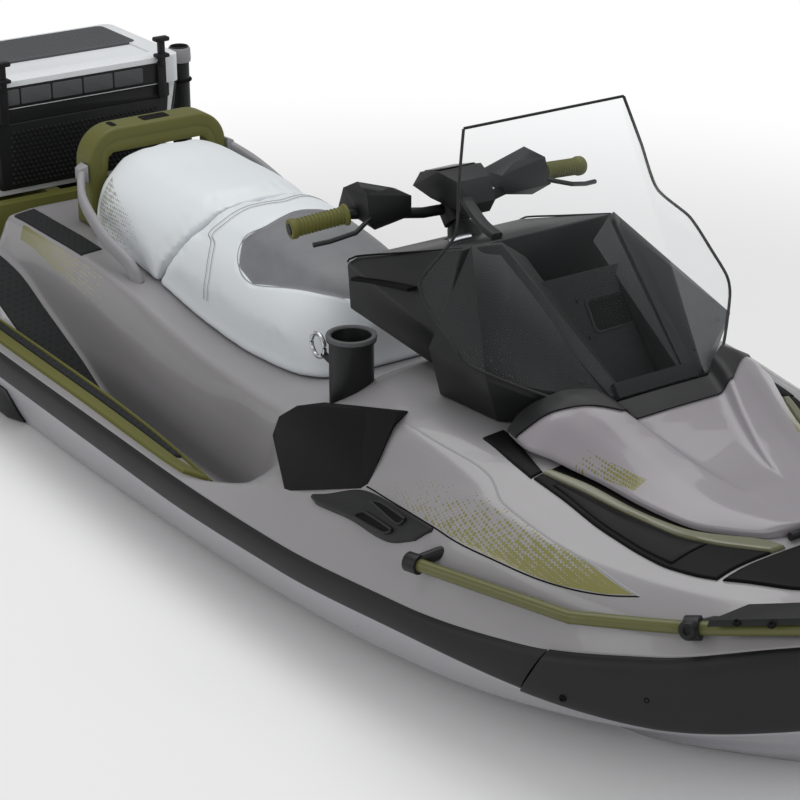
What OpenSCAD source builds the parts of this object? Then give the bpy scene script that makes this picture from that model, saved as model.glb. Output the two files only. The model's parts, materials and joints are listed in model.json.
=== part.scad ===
// Personal watercraft rigged for fishing, afloat.
// +X points to the bow, +Y to port and +Z up. The origin lies amidships at the waterline.
// The hull and deck are lofts through frames of faired lines. Pieces that lie on the deck
// take their seats from the same lines.

/* [Hull] */
// Length of the hull from the transom to the stem
hull_len = 3440; // [3200:10:3700]
// Beam over the bond line, without the bumper
beam = 1236; // [1140:2:1330]
// Number of frames along the hull
frames = 58; // [40:1:80]
// Seam between hull and deck
seam = 0.3; // [0.2:0.1:1]
// Gap under a piece that is screwed or glued on
seat_gap = 0.3; // [0.2:0.1:0.6]
// Bulge of the side bumper
bumper_out = 14; // [8:1:24]
// Bulge of the bow bumper
bow_bumper_out = 26; // [16:1:40]
// Depth of the front bin below its rim
bin_deep = 205; // [140:5:215]
// Width of the front bin
bin_w = 330; // [240:5:380]
// Length of the front bin
bin_len = 270; // [220:5:290]

/* [Hood] */
// Running gap between the hood and the cowl
hood_gap = 6; // [5:0.5:12]
// Thickness of the hood at its edge
hood_edge = 14; // [8:1:22]
// Crown of the hood above its edge at the cowl
hood_crown = 76; // [40:1:90]
// Depth of the valley in the middle of the hood
valley_deep = 30; // [10:1:40]

/* [Cowl and windshield] */
// Thickness of the windshield sheet
glass_t = 5; // [3:0.5:8]
// Height of the windshield's top edge above the water
glass_top = 1085; // [980:5:1150]
// Half width of the windshield's top edge
glass_half = 206; // [160:2:240]
// Half width of the dash box
dash_half = 235; // [190:5:260]

/* [Steering] */
// Diameter of the handlebar tube
bar_d = 24; // [20:1:30]
// Diameter of a grip
grip_d = 36; // [32:1:44]
// Length of a grip
grip_len = 134; // [110:2:150]
// Diameter of the steering shaft
stem_d = 28; // [20:1:36]
// Diameter of the column cover
column_d = 84; // [70:1:100]
// Backward lean of the steering axis from the vertical, in degrees
stem_lean = 40; // [30:1:50]

/* [Seat and rear deck] */
// Gap between the two seat cushions
seat_split = 1; // [0.5:0.5:4]
// Width of the grab arch along the seat
arch_w = 80; // [60:2:110]
// Thickness of the arch's band
arch_t = 42; // [24:1:48]
// Height of the arch above the pedestal
arch_h = 262; // [230:2:300]
// Thickness of the foot mats
mat_t = 6; // [4:0.5:10]
// Length of the swim platform behind the transom
platform_len = 335; // [280:5:400]
// Thickness of the swim platform
platform_t = 52; // [40:2:70]
// Height of the cargo rack
rack_h = 127; // [90:1:150]

/* [Cooler] */
// Width of the cooler's lid
cooler_w = 630; // [540:5:660]
// Length of the cooler's lid along the craft
cooler_len = 436; // [360:4:440]
// Height of the cooler's body
cooler_h = 255; // [220:5:300]
// Thickness of the lid
lid_t = 78; // [50:2:90]
// Thickness of the insulated walls
cooler_wall = 38; // [25:1:50]
// Bore of a rod holder
rod_bore = 46; // [38:1:54]
// Wall of a rod holder
rod_wall = 5; // [3:0.5:8]
// Height of a rod holder's tube
rod_len = 440; // [360:4:480]
// Bore of a cup holder
cup_bore = 84; // [70:1:92]
// Wall of a cup holder
cup_wall = 6; // [4:0.5:10]

/* [Jet drive] */
// Bore of the pump
pump_bore = 160; // [140:2:180]
// Wall of the pump housing
pump_wall = 12; // [8:1:16]
// Height of the pump's axis, below the waterline
pump_deep = 95; // [85:1:105]
// Running gap at the impeller's tips
tip_gap = 5; // [5:0.5:8]
// Number of impeller blades
blades = 4; // [3:1:6]
// Diameter of the drive shaft
shaft_d = 28; // [22:1:34]
// Clearance of a pin in its bore, on the radius
pin_gap = 0.3; // [0.2:0.1:0.5]
// Diameter of the nozzle's and the bucket's pins
pivot_d = 16; // [12:1:20]
// Bore of the tow eyes
eye_bore = 18; // [12:1:22]

/* [Hidden] */
$fn = 48;

grey = "#a9a7ab";
hull_grey = "#8f9096";
black = "#242526";
olive = "#6d6b2c";
white = "#dfe3e6";
steel = "#b9bcc0";

// Hull lines: frame, keel height, chine half width and height, bond half width and height, half rub band
LINES = [
    [-1600, -225, 520,   5, 596, 192, 38],
    [-1200, -240, 540,   0, 612, 192, 38],
    [ -600, -242, 548,   6, 618, 192, 38],
    [    0, -238, 542,  22, 618, 192, 38],
    [  500, -222, 520,  40, 606, 203, 34],
    [  900, -182, 468,  62, 572, 228, 34],
    [ 1200, -120, 385,  92, 503, 240, 50],
    [ 1450,  -25, 265, 130, 398, 270, 76],
    [ 1650,   95, 135, 190, 272, 330, 88],
    [ 1780,  195,  45, 238, 130, 372, 88],
    [ 1840,  250,  14, 268,  40, 392, 86]
];

// The lines are stretched from the length and beam they are drawn for to the sizes above.
drawn_len = LINES[len(LINES) - 1][0] - LINES[0][0];
drawn_beam = 2 * max([for (r = LINES) r[4]]);
kx = hull_len / drawn_len;
ky = beam / drawn_beam;
stern_s = LINES[0][0];
stern = kx * stern_s;

// Deck lines, half width and height each: gunwale, foot rest's inner edge, footwell floor outside and inside,
// crease of the pedestal's side, pedestal's edge, shoulder, top
DECK = [
    [-1600, 578, 238, 520, 243, 490, 244, 380, 245, 350, 246, 330, 247, 262, 248, 150, 248],
    [-1420, 594, 236, 520, 246, 490, 248, 376, 248, 352, 248, 336, 248, 262, 248, 150, 248],
    [-1320, 596, 234, 508, 242, 488, 284, 372, 292, 350, 350, 336, 392, 264, 402, 150, 402],
    [-1200, 598, 231, 502, 212, 488, 262, 368, 276, 350, 350, 336, 397, 264, 404, 150, 404],
    [-1040, 598, 230, 500, 206, 486, 200, 366, 212, 348, 320, 334, 397, 262, 404, 150, 404],
    [ -860, 598, 229, 500, 205, 486, 130, 366, 142, 346, 290, 324, 388, 256, 392, 150, 392],
    [ -650, 598, 228, 500, 204, 486,  62, 368,  62, 350, 240, 316, 362, 252, 366, 150, 366],
    [ -450, 598, 228, 500, 202, 486,  58, 372,  56, 352, 215, 314, 328, 250, 334, 150, 334],
    [ -250, 598, 226, 500, 194, 486,  58, 376,  56, 352, 200, 314, 310, 248, 318, 150, 318],
    [ -100, 597, 224, 502, 184, 488,  62, 380,  62, 356, 195, 320, 306, 246, 318, 150, 318],
    [   60, 590, 222, 512, 176, 500, 110, 396, 112, 372, 205, 330, 314, 246, 330, 150, 330],
    [  200, 566, 246, 530, 235, 515, 222, 436, 240, 400, 300, 360, 352, 262, 372, 150, 372],
    [  330, 548, 276, 528, 284, 508, 300, 464, 328, 430, 382, 396, 428, 300, 450, 160, 450],
    [  480, 531, 305, 520, 318, 500, 345, 474, 395, 450, 452, 425, 495, 330, 530, 180, 545],
    [  700, 525, 352, 512, 372, 486, 414, 458, 460, 446, 488, 430, 520, 375, 540, 200, 545],
    [  960, 519, 392, 506, 418, 478, 448, 446, 480, 434, 488, 418, 497, 345, 527, 200, 545],
    [ 1080, 497, 396, 486, 418, 460, 444, 430, 470, 418, 475, 402, 482, 326, 508, 200, 522],
    [ 1200, 465, 396, 454, 411, 430, 434, 402, 455, 392, 458, 378, 463, 305, 488, 200, 498],
    [ 1400, 381, 396, 366, 409, 346, 426, 325, 442, 315, 446, 302, 450, 240, 470, 160, 476],
    [ 1600, 263, 436, 251, 442, 236, 449, 220, 456, 212, 458, 202, 460, 160, 466, 110, 468],
    [ 1760, 129, 466, 122, 469, 113, 472, 104, 475,  99, 476,  94, 477,  72, 480,  50, 481],
    [ 1840,  34, 480, 31.5, 481.5,  29, 483,  26, 484,  24, 484.5,  22, 485,  16, 486,  10, 487]
];

// Seat lines: frame, half width at the base, half width and height of the shoulder, height of the crown
SEAT = [
    [-1060, 214, 146, 556, 594],
    [-1030, 232, 160, 572, 610],
    [ -960, 240, 166, 576, 612],
    [ -800, 242, 165, 580, 604],
    [ -620, 242, 160, 576, 610],
    [ -450, 240, 152, 566, 612],
    [ -300, 236, 146, 556, 600],
    [ -150, 230, 138, 540, 578],
    [  -40, 218, 126, 516, 552],
    [   40, 196, 104, 470, 500],
    [   80, 172,  80, 420, 440]
];

// Hood lines: frame, half width, crown as a part of the full crown, half width of the valley, valley depth
HOOD = [
    [  880, 300, 1.00, 178, 1.00],
    [  960, 316, 1.00, 158, 1.00],
    [ 1020, 292, 0.94, 144, 1.00],
    [ 1120, 252, 0.62, 105, 0.80],
    [ 1240, 220, 0.30,  66, 0.36],
    [ 1310, 194, 0.22,  50, 0.00],
    [ 1370, 140, 0.17,  40, 0.00],
    [ 1440,  56, 0.10,  20, 0.00]
];

// Value of column c of table t at x, a cubic between the rows that never overshoots them
function row_at(t, x, i = 0) = (i >= len(t) - 2 || x < t[i + 1][0]) ? i : row_at(t, x, i + 1);
function secant(t, c, i) = (t[i + 1][c] - t[i][c]) / (t[i + 1][0] - t[i][0]);
function slope(t, c, i) =
    (i == 0) ? secant(t, c, 0) :
    (i == len(t) - 1) ? secant(t, c, i - 1) :
    let (a = secant(t, c, i - 1), b = secant(t, c, i)) (a * b > 0) ? 2 * a * b / (a + b) : 0;
function fair(t, c, x) =
    let (i = row_at(t, x), h = t[i + 1][0] - t[i][0], u = (x - t[i][0]) / h)
    let (p = t[i][c], q = t[i + 1][c], m = h * slope(t, c, i), n = h * slope(t, c, i + 1))
    p + u * (m + u * (3 * (q - p) - 2 * m - n + u * (m + n - 2 * (q - p))));
function mix(a, b, f) = a + (b - a) * f;

// Frames: drawn place of frame i, and the frames between two drawn places
function frame_s(i) = stern_s + drawn_len * i / frames;
function frames_in(s0, s1) = [for (i = [0 : frames]) if (frame_s(i) >= s0 && frame_s(i) <= s1) frame_s(i)];

function bond_y(s) = ky * fair(LINES, 4, s);
function bond_z(s) = fair(LINES, 5, s);
function band(s) = fair(LINES, 6, s);

// Line k of the deck at frame s, as half width and height: 0 is the bond line, 10 the centreline
function deck_line(s, k) =
    (k == 0) ? [bond_y(s), bond_z(s) + seam] :
    (k == 1) ? [bond_y(s), bond_z(s) + band(s)] :
    (k == 10) ? [0, fair(DECK, 16, s)] :
    [ky * fair(DECK, 2 * k - 3, s), fair(DECK, 2 * k - 2, s)];
function deck_at(s, u) =
    let (k = min(9, floor(u))) mix(deck_line(s, k), deck_line(s, k + 1), u - k);
function deck_top(s) = fair(DECK, 16, s);
// Joint face between hull and deck: a ledge at the bond line, then down to a sole under the footwells
sole_t = 40;
function sole_z(s) = min(bond_z(s) - 6, min(fair(DECK, 6, s), fair(DECK, 8, s)) - sole_t);
function ledge_y(s) = 0.985 * bond_y(s);
function sole_y(s) = min(ky * fair(DECK, 5, s) + 14, 0.96 * bond_y(s));
// Height of the deck's flat top between two frames, where it runs straight
function flat_top(s) =
    let (f = (s - stern_s) * frames / drawn_len, i = floor(f))
    mix(deck_top(frame_s(i)), deck_top(frame_s(i + 1)), f - i);

// Line k of the hull at frame s: 0 is the bond line, 6 the keel
function hull_line(s, k) =
    let (cy = ky * fair(LINES, 2, s), cz = fair(LINES, 3, s), kz = fair(LINES, 1, s))
    (k == 0) ? [bond_y(s), bond_z(s)] :
    (k == 1) ? [bond_y(s), bond_z(s) - band(s)] :
    (k == 2) ? [mix(cy, bond_y(s), 0.25), mix(cz, bond_z(s) - band(s), 0.22)] :
    (k == 3) ? [cy, cz] :
    (k == 4) ? [0.60 * cy, mix(cz, kz, 0.36)] :
    (k == 5) ? [0.57 * cy, mix(cz, kz, 0.46)] :
    [0, kz];
function hull_at(s, v) =
    let (k = min(5, floor(v))) mix(hull_line(s, k), hull_line(s, k + 1), v - k);

function unit(v) = v / norm(v);
// Outward normals of the two skins in the plane of a frame
function deck_normal(s, u) =
    let (t = unit(deck_at(s, min(10, u + 0.05)) - deck_at(s, max(0, u - 0.05)))) [t.y, -t.x];
function hull_normal(s, v) =
    let (t = unit(hull_at(s, min(6, v + 0.05)) - hull_at(s, max(0, v - 0.05)))) [-t.y, t.x];

// Solid through a list of closed rings with the same number of points. Each patch is folded from its
// outboard corner, so that port and starboard match and sheets lie parallel to the skin under them.
// The ends are closed by a fan about the ring's middle, or by strips where the ring doubles back.
function middle(r) = [for (p = r) 1] * r / len(r);
function end_fan(n, first, c, flip) =
    [for (k = [0 : n - 1]) let (a = first + k, b = first + (k + 1) % n) flip ? [c, b, a] : [c, a, b]];
function end_strip(n, first, flip) =
    [for (k = [0 : n / 2 - 2]) let (q = [k, k + 1, n - 2 - k, n - 1 - k])
        [for (i = flip ? [3, 2, 1, 0] : [0, 1, 2, 3]) first + q[i]]];
module loft(rings, strips = false) {
    n = len(rings[0]);
    m = len(rings);
    polyhedron(
        points = concat([for (r = rings) for (p = r) p], strips ? [] : [middle(rings[0]), middle(rings[m - 1])]),
        faces = concat(
            strips ? end_strip(n, 0, false) : end_fan(n, 0, m * n, false),
            strips ? end_strip(n, (m - 1) * n, true) : end_fan(n, (m - 1) * n, m * n + 1, true),
            [for (j = [0 : m - 2]) for (k = [0 : n - 1])
                let (l = (k + 1) % n, a = j * n + k, b = j * n + l, c = a + n, d = b + n)
                for (f = (abs(rings[j][k].y) >= abs(rings[j][l].y))
                    ? [[a, c, d], [a, d, b]] : [[a, c, b], [c, d, b]]) f]
        ),
        convexity = 8
    );
}

module both_sides() {
    children();
    mirror([0, 1, 0]) children();
}

// Convex block around a few corner points
module block(pts) {
    hull() polyhedron(points = pts, faces = [[for (i = [0 : len(pts) - 1]) i]]);
}

// Round bar through a list of points, mitred at its bends
function way(pts, i) =
    unit(unit(pts[min(len(pts) - 1, i + 1)] - pts[max(0, min(i, len(pts) - 2))])
        + unit(pts[max(1, i)] - pts[max(0, i - 1)]));
module bar(pts, d, sides = 12, up = [0, 0, 1]) {
    loft([for (i = [0 : len(pts) - 1])
        let (w = way(pts, i), u = unit(cross(up, w)), v = cross(w, u))
        [for (a = [0 : sides - 1])
            pts[i] + d / 2 * (cos(360 * a / sides) * u + sin(360 * a / sides) * v)]]);
}

// Sheet of thickness t that lies on the deck from frame s0 to s1, between the places us across
module deck_sheet(s0, s1, us, t, lift = -4) {
    n = len(us);
    loft([for (s = frames_in(s0, s1)) concat(
        [for (j = [n - 1 : -1 : 0])
            let (p = deck_at(s, us[j]) + lift * deck_normal(s, us[j])) [kx * s, p.x, p.y]],
        [for (j = [0 : n - 1])
            let (p = deck_at(s, us[j]) + (seat_gap + t) * deck_normal(s, us[j])) [kx * s, p.x, p.y]])],
        strips = true);
}

// Sheet of thickness t on the deck whose edges follow a table: frame, then the places across of its edges
module deck_patch(rows, t, low = 1, high = 2, n = 7, lift = -4) {
    s0 = rows[0][0];
    s1 = rows[len(rows) - 1][0];
    steps = ceil((s1 - s0) / 36);
    loft([for (i = [0 : steps])
        let (s = mix(s0, s1, i / steps), a = fair(rows, low, s), b = fair(rows, high, s))
        concat(
            [for (j = [n - 1 : -1 : 0])
                let (u = mix(a, b, j / (n - 1)), p = deck_at(s, u) + lift * deck_normal(s, u)) [kx * s, p.x, p.y]],
            [for (j = [0 : n - 1])
                let (u = mix(a, b, j / (n - 1)), p = deck_at(s, u) + (seat_gap + t) * deck_normal(s, u))
                [kx * s, p.x, p.y]])],
        strips = true);
}

// What lies under the deck's skin from frame s0 to s1, raised by the seat gap
module under_deck(s0, s1) {
    loft([for (s = frames_in(s0, s1)) concat(
        [[kx * s, bond_y(s), -60]],
        [for (k = [1 : 10]) let (p = deck_line(s, k) + seat_gap * deck_normal(s, k)) [kx * s, p.x, p.y]],
        [for (k = [9 : -1 : 1]) let (p = deck_line(s, k) + seat_gap * deck_normal(s, k)) [kx * s, -p.x, p.y]],
        [[kx * s, -bond_y(s), -60]])]);
}
// Cuts what lies on the deck down to its seat
module on_deck(s0, s1) {
    difference() {
        children();
        under_deck(s0 - 70, s1 + 70);
    }
}

// Engine room, shaft line and pump tunnel, shared by the hull and what lies in them
room_x0 = -520 * kx;
room_x1 = 80 * kx;
room_half = 205;
room_floor = -125;
room_top = 275;
tunnel_x = -1150 * kx;
tunnel_half = 150;
tunnel_top = 20;
shaft_room = 6;
plate_z = -232;
plate_t = 14;

module hull_shell() {
    color(hull_grey)
        difference() {
            loft([for (i = [0 : frames]) let (s = frame_s(i), x = kx * s) concat(
                [for (k = [0 : 6]) let (p = hull_line(s, k)) [x, -p.x, p.y]],
                [for (k = [5 : -1 : 0]) let (p = hull_line(s, k)) [x, p.x, p.y]],
                [[x, ledge_y(s), bond_z(s)], [x, sole_y(s), sole_z(s)]],
                [[x, -sole_y(s), sole_z(s)], [x, -ledge_y(s), bond_z(s)]])]);
            translate([room_x0, -room_half, room_floor])
                cube([room_x1 - room_x0, 2 * room_half, 400]);
            translate([stern - 10, -tunnel_half, -400])
                cube([tunnel_x - stern + 10, 2 * tunnel_half, 400 + tunnel_top]);
            translate([tunnel_x - 10, 0, -pump_deep])
                rotate([0, 90, 0])
                    cylinder(d = shaft_d + 2 * shaft_room, h = room_x0 - tunnel_x + 40);
            intake_cut();
        }
}

// Ramp of the water intake ahead of the pump
intake_len = 330;
intake_half = 75;
module intake_cut() {
    translate([0, intake_half, 0])
        rotate([90, 0, 0])
            linear_extrude(2 * intake_half)
                polygon([
                    [tunnel_x - 1, -400],
                    [tunnel_x - 1, -pump_deep + 70],
                    [tunnel_x + intake_len, -260],
                    [tunnel_x + intake_len, -400]
                ]);
}

// Front bin, under the hood
bin_s = 1030;
bin_x = kx * bin_s;
bin_rim = deck_top(bin_s + bin_len / kx);

// Hinge ahead of the hood: the deck bears two knuckles and their pin, the hood a barrel between them
hood_s0 = 885;
hood_s1 = 1440;
hood_lift = 0.5;
hood_front = max(frames_in(hood_s0, hood_s1));
hinge_x = kx * hood_front + 13;
hinge_z = max(deck_top(hood_front), deck_line(hood_front, 8).y) + hood_lift + 10;
hinge_half = 44;
knuckle_d = 16;
hinge_pin = 8;
module along_y(x, y, z) {
    translate([x, y, z]) rotate([-90, 0, 0]) children();
}

module deck() {
    color(grey) {
        both_sides() {
            along_y(hinge_x, hinge_half + 1, hinge_z) cylinder(d = knuckle_d, h = 20);
            translate([hinge_x - knuckle_d / 2, hinge_half + 1, hinge_z - 40]) cube([knuckle_d, 20, 40]);
        }
        along_y(hinge_x, -hinge_half - 10, hinge_z) cylinder(d = hinge_pin, h = 2 * hinge_half + 20);
        difference() {
            loft([for (i = [0 : frames]) let (s = frame_s(i), x = kx * s, z = sole_z(s) + seam) concat(
                [for (k = [0 : 10]) let (p = deck_line(s, k)) [x, p.x, p.y]],
                [for (k = [9 : -1 : 0]) let (p = deck_line(s, k)) [x, -p.x, p.y]],
                [[x, seam - ledge_y(s), bond_z(s) + seam], [x, 2 * seam - sole_y(s), z]],
                [[x, sole_y(s) - 2 * seam, z], [x, ledge_y(s) - seam, bond_z(s) + seam]])]);
            translate([room_x0, -room_half, -400])
                cube([room_x1 - room_x0, 2 * room_half, 400 + room_top]);
            translate([bin_x, -bin_w / 2, bin_rim - bin_deep])
                cube([bin_len, bin_w, bin_deep + 300]);
        }
    }
}

// Slanted joint between the side bumper and the bow bumper
bow_s = 1228;
bow_lean = 28;
bow_gap = 3;
module ahead_of_joint(gap) {
    translate([kx * bow_s + gap, 0, bond_z(bow_s)])
        rotate([0, bow_lean, 0])
            translate([0, -1000, -500]) cube([2000, 2000, 1000]);
}

// Half round strip on the rub band, from the stern to the joint
module bumper() {
    profile = [[0, -0.95], [0.7, -0.72], [1, -0.25], [1, 0.25], [0.7, 0.72], [0, 0.95]];
    color(black)
        difference() {
            both_sides()
                loft([for (s = frames_in(stern_s, bow_s + 75)) [for (q = profile)
                    [kx * s, bond_y(s) + seat_gap + bumper_out * q.x, bond_z(s) + band(s) * q.y]]]);
            ahead_of_joint(0);
        }
}

// Plan of the bow from the port quarter round the stem, with the outward normal at each point
bow_port = [for (s = frames_in(bow_s - 75, 1840)) [kx * s, bond_y(s), s]];
bow_count = len(bow_port);
bow_path = concat(bow_port, [for (i = [bow_count - 1 : -1 : 0]) [bow_port[i].x, -bow_port[i].y, bow_port[i].z]]);
function bow_dir(i) =
    let (a = bow_path[max(0, i - 1)], b = bow_path[min(len(bow_path) - 1, i + 1)]) unit([b.x - a.x, b.y - a.y]);
function bow_out(i) = let (d = bow_dir(i)) [-d.y, d.x];

module bow_bumper() {
    profile = [
        [0, -0.96], [0.55, -0.90], [0.9, -0.62], [1, -0.2], [0.97, 0.3], [0.85, 0.72], [0.45, 0.95], [0, 0.97]
    ];
    color(black)
        intersection() {
            loft([for (i = [0 : len(bow_path) - 1])
                let (p = bow_path[i], n = bow_out(i), z = bond_z(p.z), b = band(p.z))
                [for (q = profile) let (out = seat_gap + bow_bumper_out * q.x)
                    [p.x + n.x * out, p.y + n.y * out, z + b * q.y]]]);
            ahead_of_joint(bow_gap);
        }
}

// Tube rails along the bow, with one bend
rail_d = 26;
rail_pts = [
    [ 930 * kx, ky * 565, 362], [1272 * kx, ky * 480, 380], [1300 * kx, ky * 472, 382],
    [1326 * kx, ky * 459, 386], [1504 * kx, ky * 357, 416], [1680 * kx, ky * 238, 457]
];
module bow_rails() {
    color(olive)
        both_sides()
            bar(rail_pts, rail_d);
}

// Caps and clamps on legs that hold the rails off the deck, and the plates over their front ends
rail_clamp = rail_pts[4];
module rail_fittings() {
    aft = unit(rail_pts[1] - rail_pts[0]);
    fore = unit(rail_pts[5] - rail_pts[4]);
    color(black)
        both_sides()
            difference() {
                union() {
                    bar([rail_pts[0] - 10 * aft, rail_pts[0] + 20 * aft], 40, 16);
                    bar([rail_pts[0] + 4 * aft, [964 * kx, ky * 508, 386]], 26);
                    bar([rail_clamp - 14 * fore, rail_clamp + 14 * fore], 46, 16);
                    bar([rail_clamp, [1512 * kx, ky * 285, 412]], 26);
                    block([
                        [1548 * kx, ky * 366, 441], [1548 * kx, ky * 362, 453],
                        [1548 * kx, ky * 268, 430], [1548 * kx, ky * 268, 456],
                        [1690 * kx, ky * 250, 474], [1690 * kx, ky * 246, 486],
                        [1690 * kx, ky * 150, 460], [1690 * kx, ky * 150, 490],
                        [1790 * kx, ky * 110, 486], [1790 * kx, ky * 106, 497],
                        [1790 * kx, ky * 60, 470], [1790 * kx, ky * 60, 500]
                    ]);
                }
                under_deck(780, 1850);
                bar(rail_pts, rail_d + 2 * seat_gap + 0.2);
            }
}

// Plan of the cowl and the windshield: the hood keeps clear of it
cowl_z = deck_top(700) + seat_gap;
cowl_x0 = 470 * kx;
cowl_x1 = 985 * kx;
cowl_plan = [[cowl_x0, 340], [838 * kx, 334], [cowl_x1, 126], [cowl_x1, -126], [838 * kx, -334], [cowl_x0, -340]];
function hood_ring(s) =
    let (w = ky * fair(HOOD, 1, s), c = hood_crown * fair(HOOD, 2, s), v = ky * fair(HOOD, 3, s))
    let (d = valley_deep * fair(HOOD, 4, s), zb = max(deck_top(s), deck_line(s, 8).y) + hood_lift)
    let (ze = zb + hood_edge, x = kx * s)
    let (half = [
        [w, ze], [0.84 * w, ze + 0.62 * c], [0.66 * w, ze + c], [v, ze + 1.04 * c], [0.86 * v, ze + 1.06 * c - d]])
    let (top = concat(half, [[0, ze + 1.08 * c - d]], [for (i = [4 : -1 : 0]) [-half[i].x, half[i].y]]))
    concat([for (p = top) [x, p.x, p.y]], [for (i = [10 : -1 : 0]) [x, top[i].x, zb]]);

module hood() {
    color(grey)
        difference() {
            union() {
                loft([for (s = frames_in(hood_s0, hood_s1)) hood_ring(s)], strips = true);
                along_y(hinge_x, -hinge_half, hinge_z) cylinder(d = knuckle_d, h = 2 * hinge_half);
                translate([hinge_x - 30, -hinge_half, hinge_z - 4]) cube([30, 2 * hinge_half, 10]);
            }
            along_y(hinge_x, -60, hinge_z) cylinder(d = hinge_pin + 2 * pin_gap, h = 120);
            translate([0, 0, 300])
                linear_extrude(600)
                    offset(delta = hood_gap)
                        polygon(cowl_plan);
        }
}

// Lamp covers beside the hood, the strip along their upper edges, and the band round the hood's nose:
// frame, lower edge, parting and upper edge as places across the deck
LAMP = [
    [1020, 7.87, 8.06, 8.22],
    [1060, 7.85, 8.13, 8.33],
    [1120, 7.80, 8.24, 8.46],
    [1240, 7.58, 8.40, 8.62],
    [1310, 7.40, 8.52, 8.74],
    [1370, 7.28, 8.84, 9.06],
    [1412, 7.29, 9.06, 9.30],
    [1452, 7.38, 9.16, 9.40]
];
// Nose band: frame, edge as a place across the deck
NOSE = [
    [1460, 7.42],
    [1496, 7.60],
    [1568, 7.92],
    [1600, 8.60]
];
lamp_t = 7;
trim_t = 11;
module nose_band() {
    n = 6;
    loft([for (i = [0 : 5]) let (s = mix(NOSE[0][0], NOSE[3][0], i / 5), a = fair(NOSE, 1, s))
        let (us = [for (j = [0 : n]) mix(a, 10, j / n)])
        let (low = [for (u = us) deck_at(s, u) - 4 * deck_normal(s, u)])
        let (top = [for (u = us) deck_at(s, u) + (seat_gap + lamp_t) * deck_normal(s, u)])
        concat(
            [for (j = [0 : n]) [kx * s, top[j].x, top[j].y]],
            [for (j = [n - 1 : -1 : 0]) [kx * s, -top[j].x, top[j].y]],
            [for (j = [0 : n]) [kx * s, -low[j].x, low[j].y]],
            [for (j = [n - 1 : -1 : 0]) [kx * s, low[j].x, low[j].y]])], strips = true);
}
module lamp_pods() {
    color(black)
        on_deck(1010, 1610) {
            both_sides() deck_patch(LAMP, lamp_t, 1, 2);
            nose_band();
        }
}

module lamp_trims() {
    rows = [for (r = LAMP) [r[0], r[2] + 0.03, r[3]]];
    color(olive)
        both_sides()
            on_deck(1010, 1460) deck_patch(rows, trim_t, 1, 2, 4);
}

// Crease between the windshield's front and port panes, from head to foot, and the front pane's slope
glass_foot = [cowl_x1 + 2, 120, 612];
glass_head = [593 * kx, glass_half, glass_top];
pane_up = unit([glass_head.x - glass_foot.x, 0, glass_head.z - glass_foot.z]);
pane_out = [pane_up.z, 0, -pane_up.x];

// Wings of the cowl and the panel between them
wing = [
    [ 600 * kx, 188, 838], [ 640 * kx, 140, 846], [ 655 * kx, 88, 808],
    [cowl_x1 - 15, 116, 606], [cowl_x1 - 15, 78, 610],
    [ 835 * kx, 322, 652], [ 640 * kx, 322, 656],
    [ 640 * kx, 292, cowl_z], [ 815 * kx, 276, cowl_z],
    [cowl_x1 - 8, 112, cowl_z], [cowl_x1 - 8, 78, cowl_z],
    [ 640 * kx, 168, cowl_z]
];
// Seat inside the windshield's front pane, along its foot
module glass_seat() {
    block([for (u = [3, 34], d = [seat_gap, 14], y = [-104, 104])
        [glass_foot.x, y, glass_foot.z] + u * pane_up - d * pane_out]);
}
module cowl() {
    color(black) {
        both_sides() block(wing);
        glass_seat();
        block([
            [cowl_x1 - 44, 100, cowl_z], [cowl_x1 - 44, -100, cowl_z],
            [cowl_x1 - 8, 100, cowl_z], [cowl_x1 - 8, -100, cowl_z],
            [cowl_x1 - 44, 100, 604], [cowl_x1 - 44, -100, 604],
            [cowl_x1 - 16, 100, 606], [cowl_x1 - 16, -100, 606]
        ]);
        block([
            [722 * kx, 175, 776], [722 * kx, -175, 776], [706 * kx, 175, 768], [706 * kx, -175, 768],
            [880 * kx, 150, cowl_z], [880 * kx, -150, cowl_z], [835 * kx, 150, cowl_z], [835 * kx, -150, cowl_z]
        ]);
    }
}

// Windshield: the edge line down the port side, ruled to the crease beside the front pane
glass_edge = [
    glass_head,
    [620 * kx, glass_half + 30, glass_top - 100],
    [646 * kx, glass_half + 58, glass_top - 199],
    [654 * kx, glass_half + 148, glass_top - 277],
    [722 * kx, glass_half + 156, glass_top - 337],
    [778 * kx, glass_half + 150, glass_top - 375],
    [808 * kx, glass_half + 134, 677],
    [916 * kx, 226, 622],
    glass_foot
];
glass_n = len(glass_edge) - 1;
function crease_at(i) = mix(glass_head, glass_foot, i / glass_n);

module windshield() {
    out = glass_t * pane_out;
    side_n = unit(cross(glass_foot - glass_head, glass_edge[3] - glass_head));
    side = glass_t * (side_n.y > 0 ? side_n : -side_n);
    color("#cfd6da", 0.35) {
        loft([for (q = [glass_head, glass_foot]) [
            [q.x, -q.y, q.z], [q.x, q.y, q.z], [q.x, q.y, q.z] + out, [q.x, -q.y, q.z] + out]]);
        both_sides()
            loft([for (i = [1 : glass_n - 1]) let (a = crease_at(i) + [0, 0.4, 0], b = glass_edge[i]) [
                a, b, b + side, a + side]]);
    }
}

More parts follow.
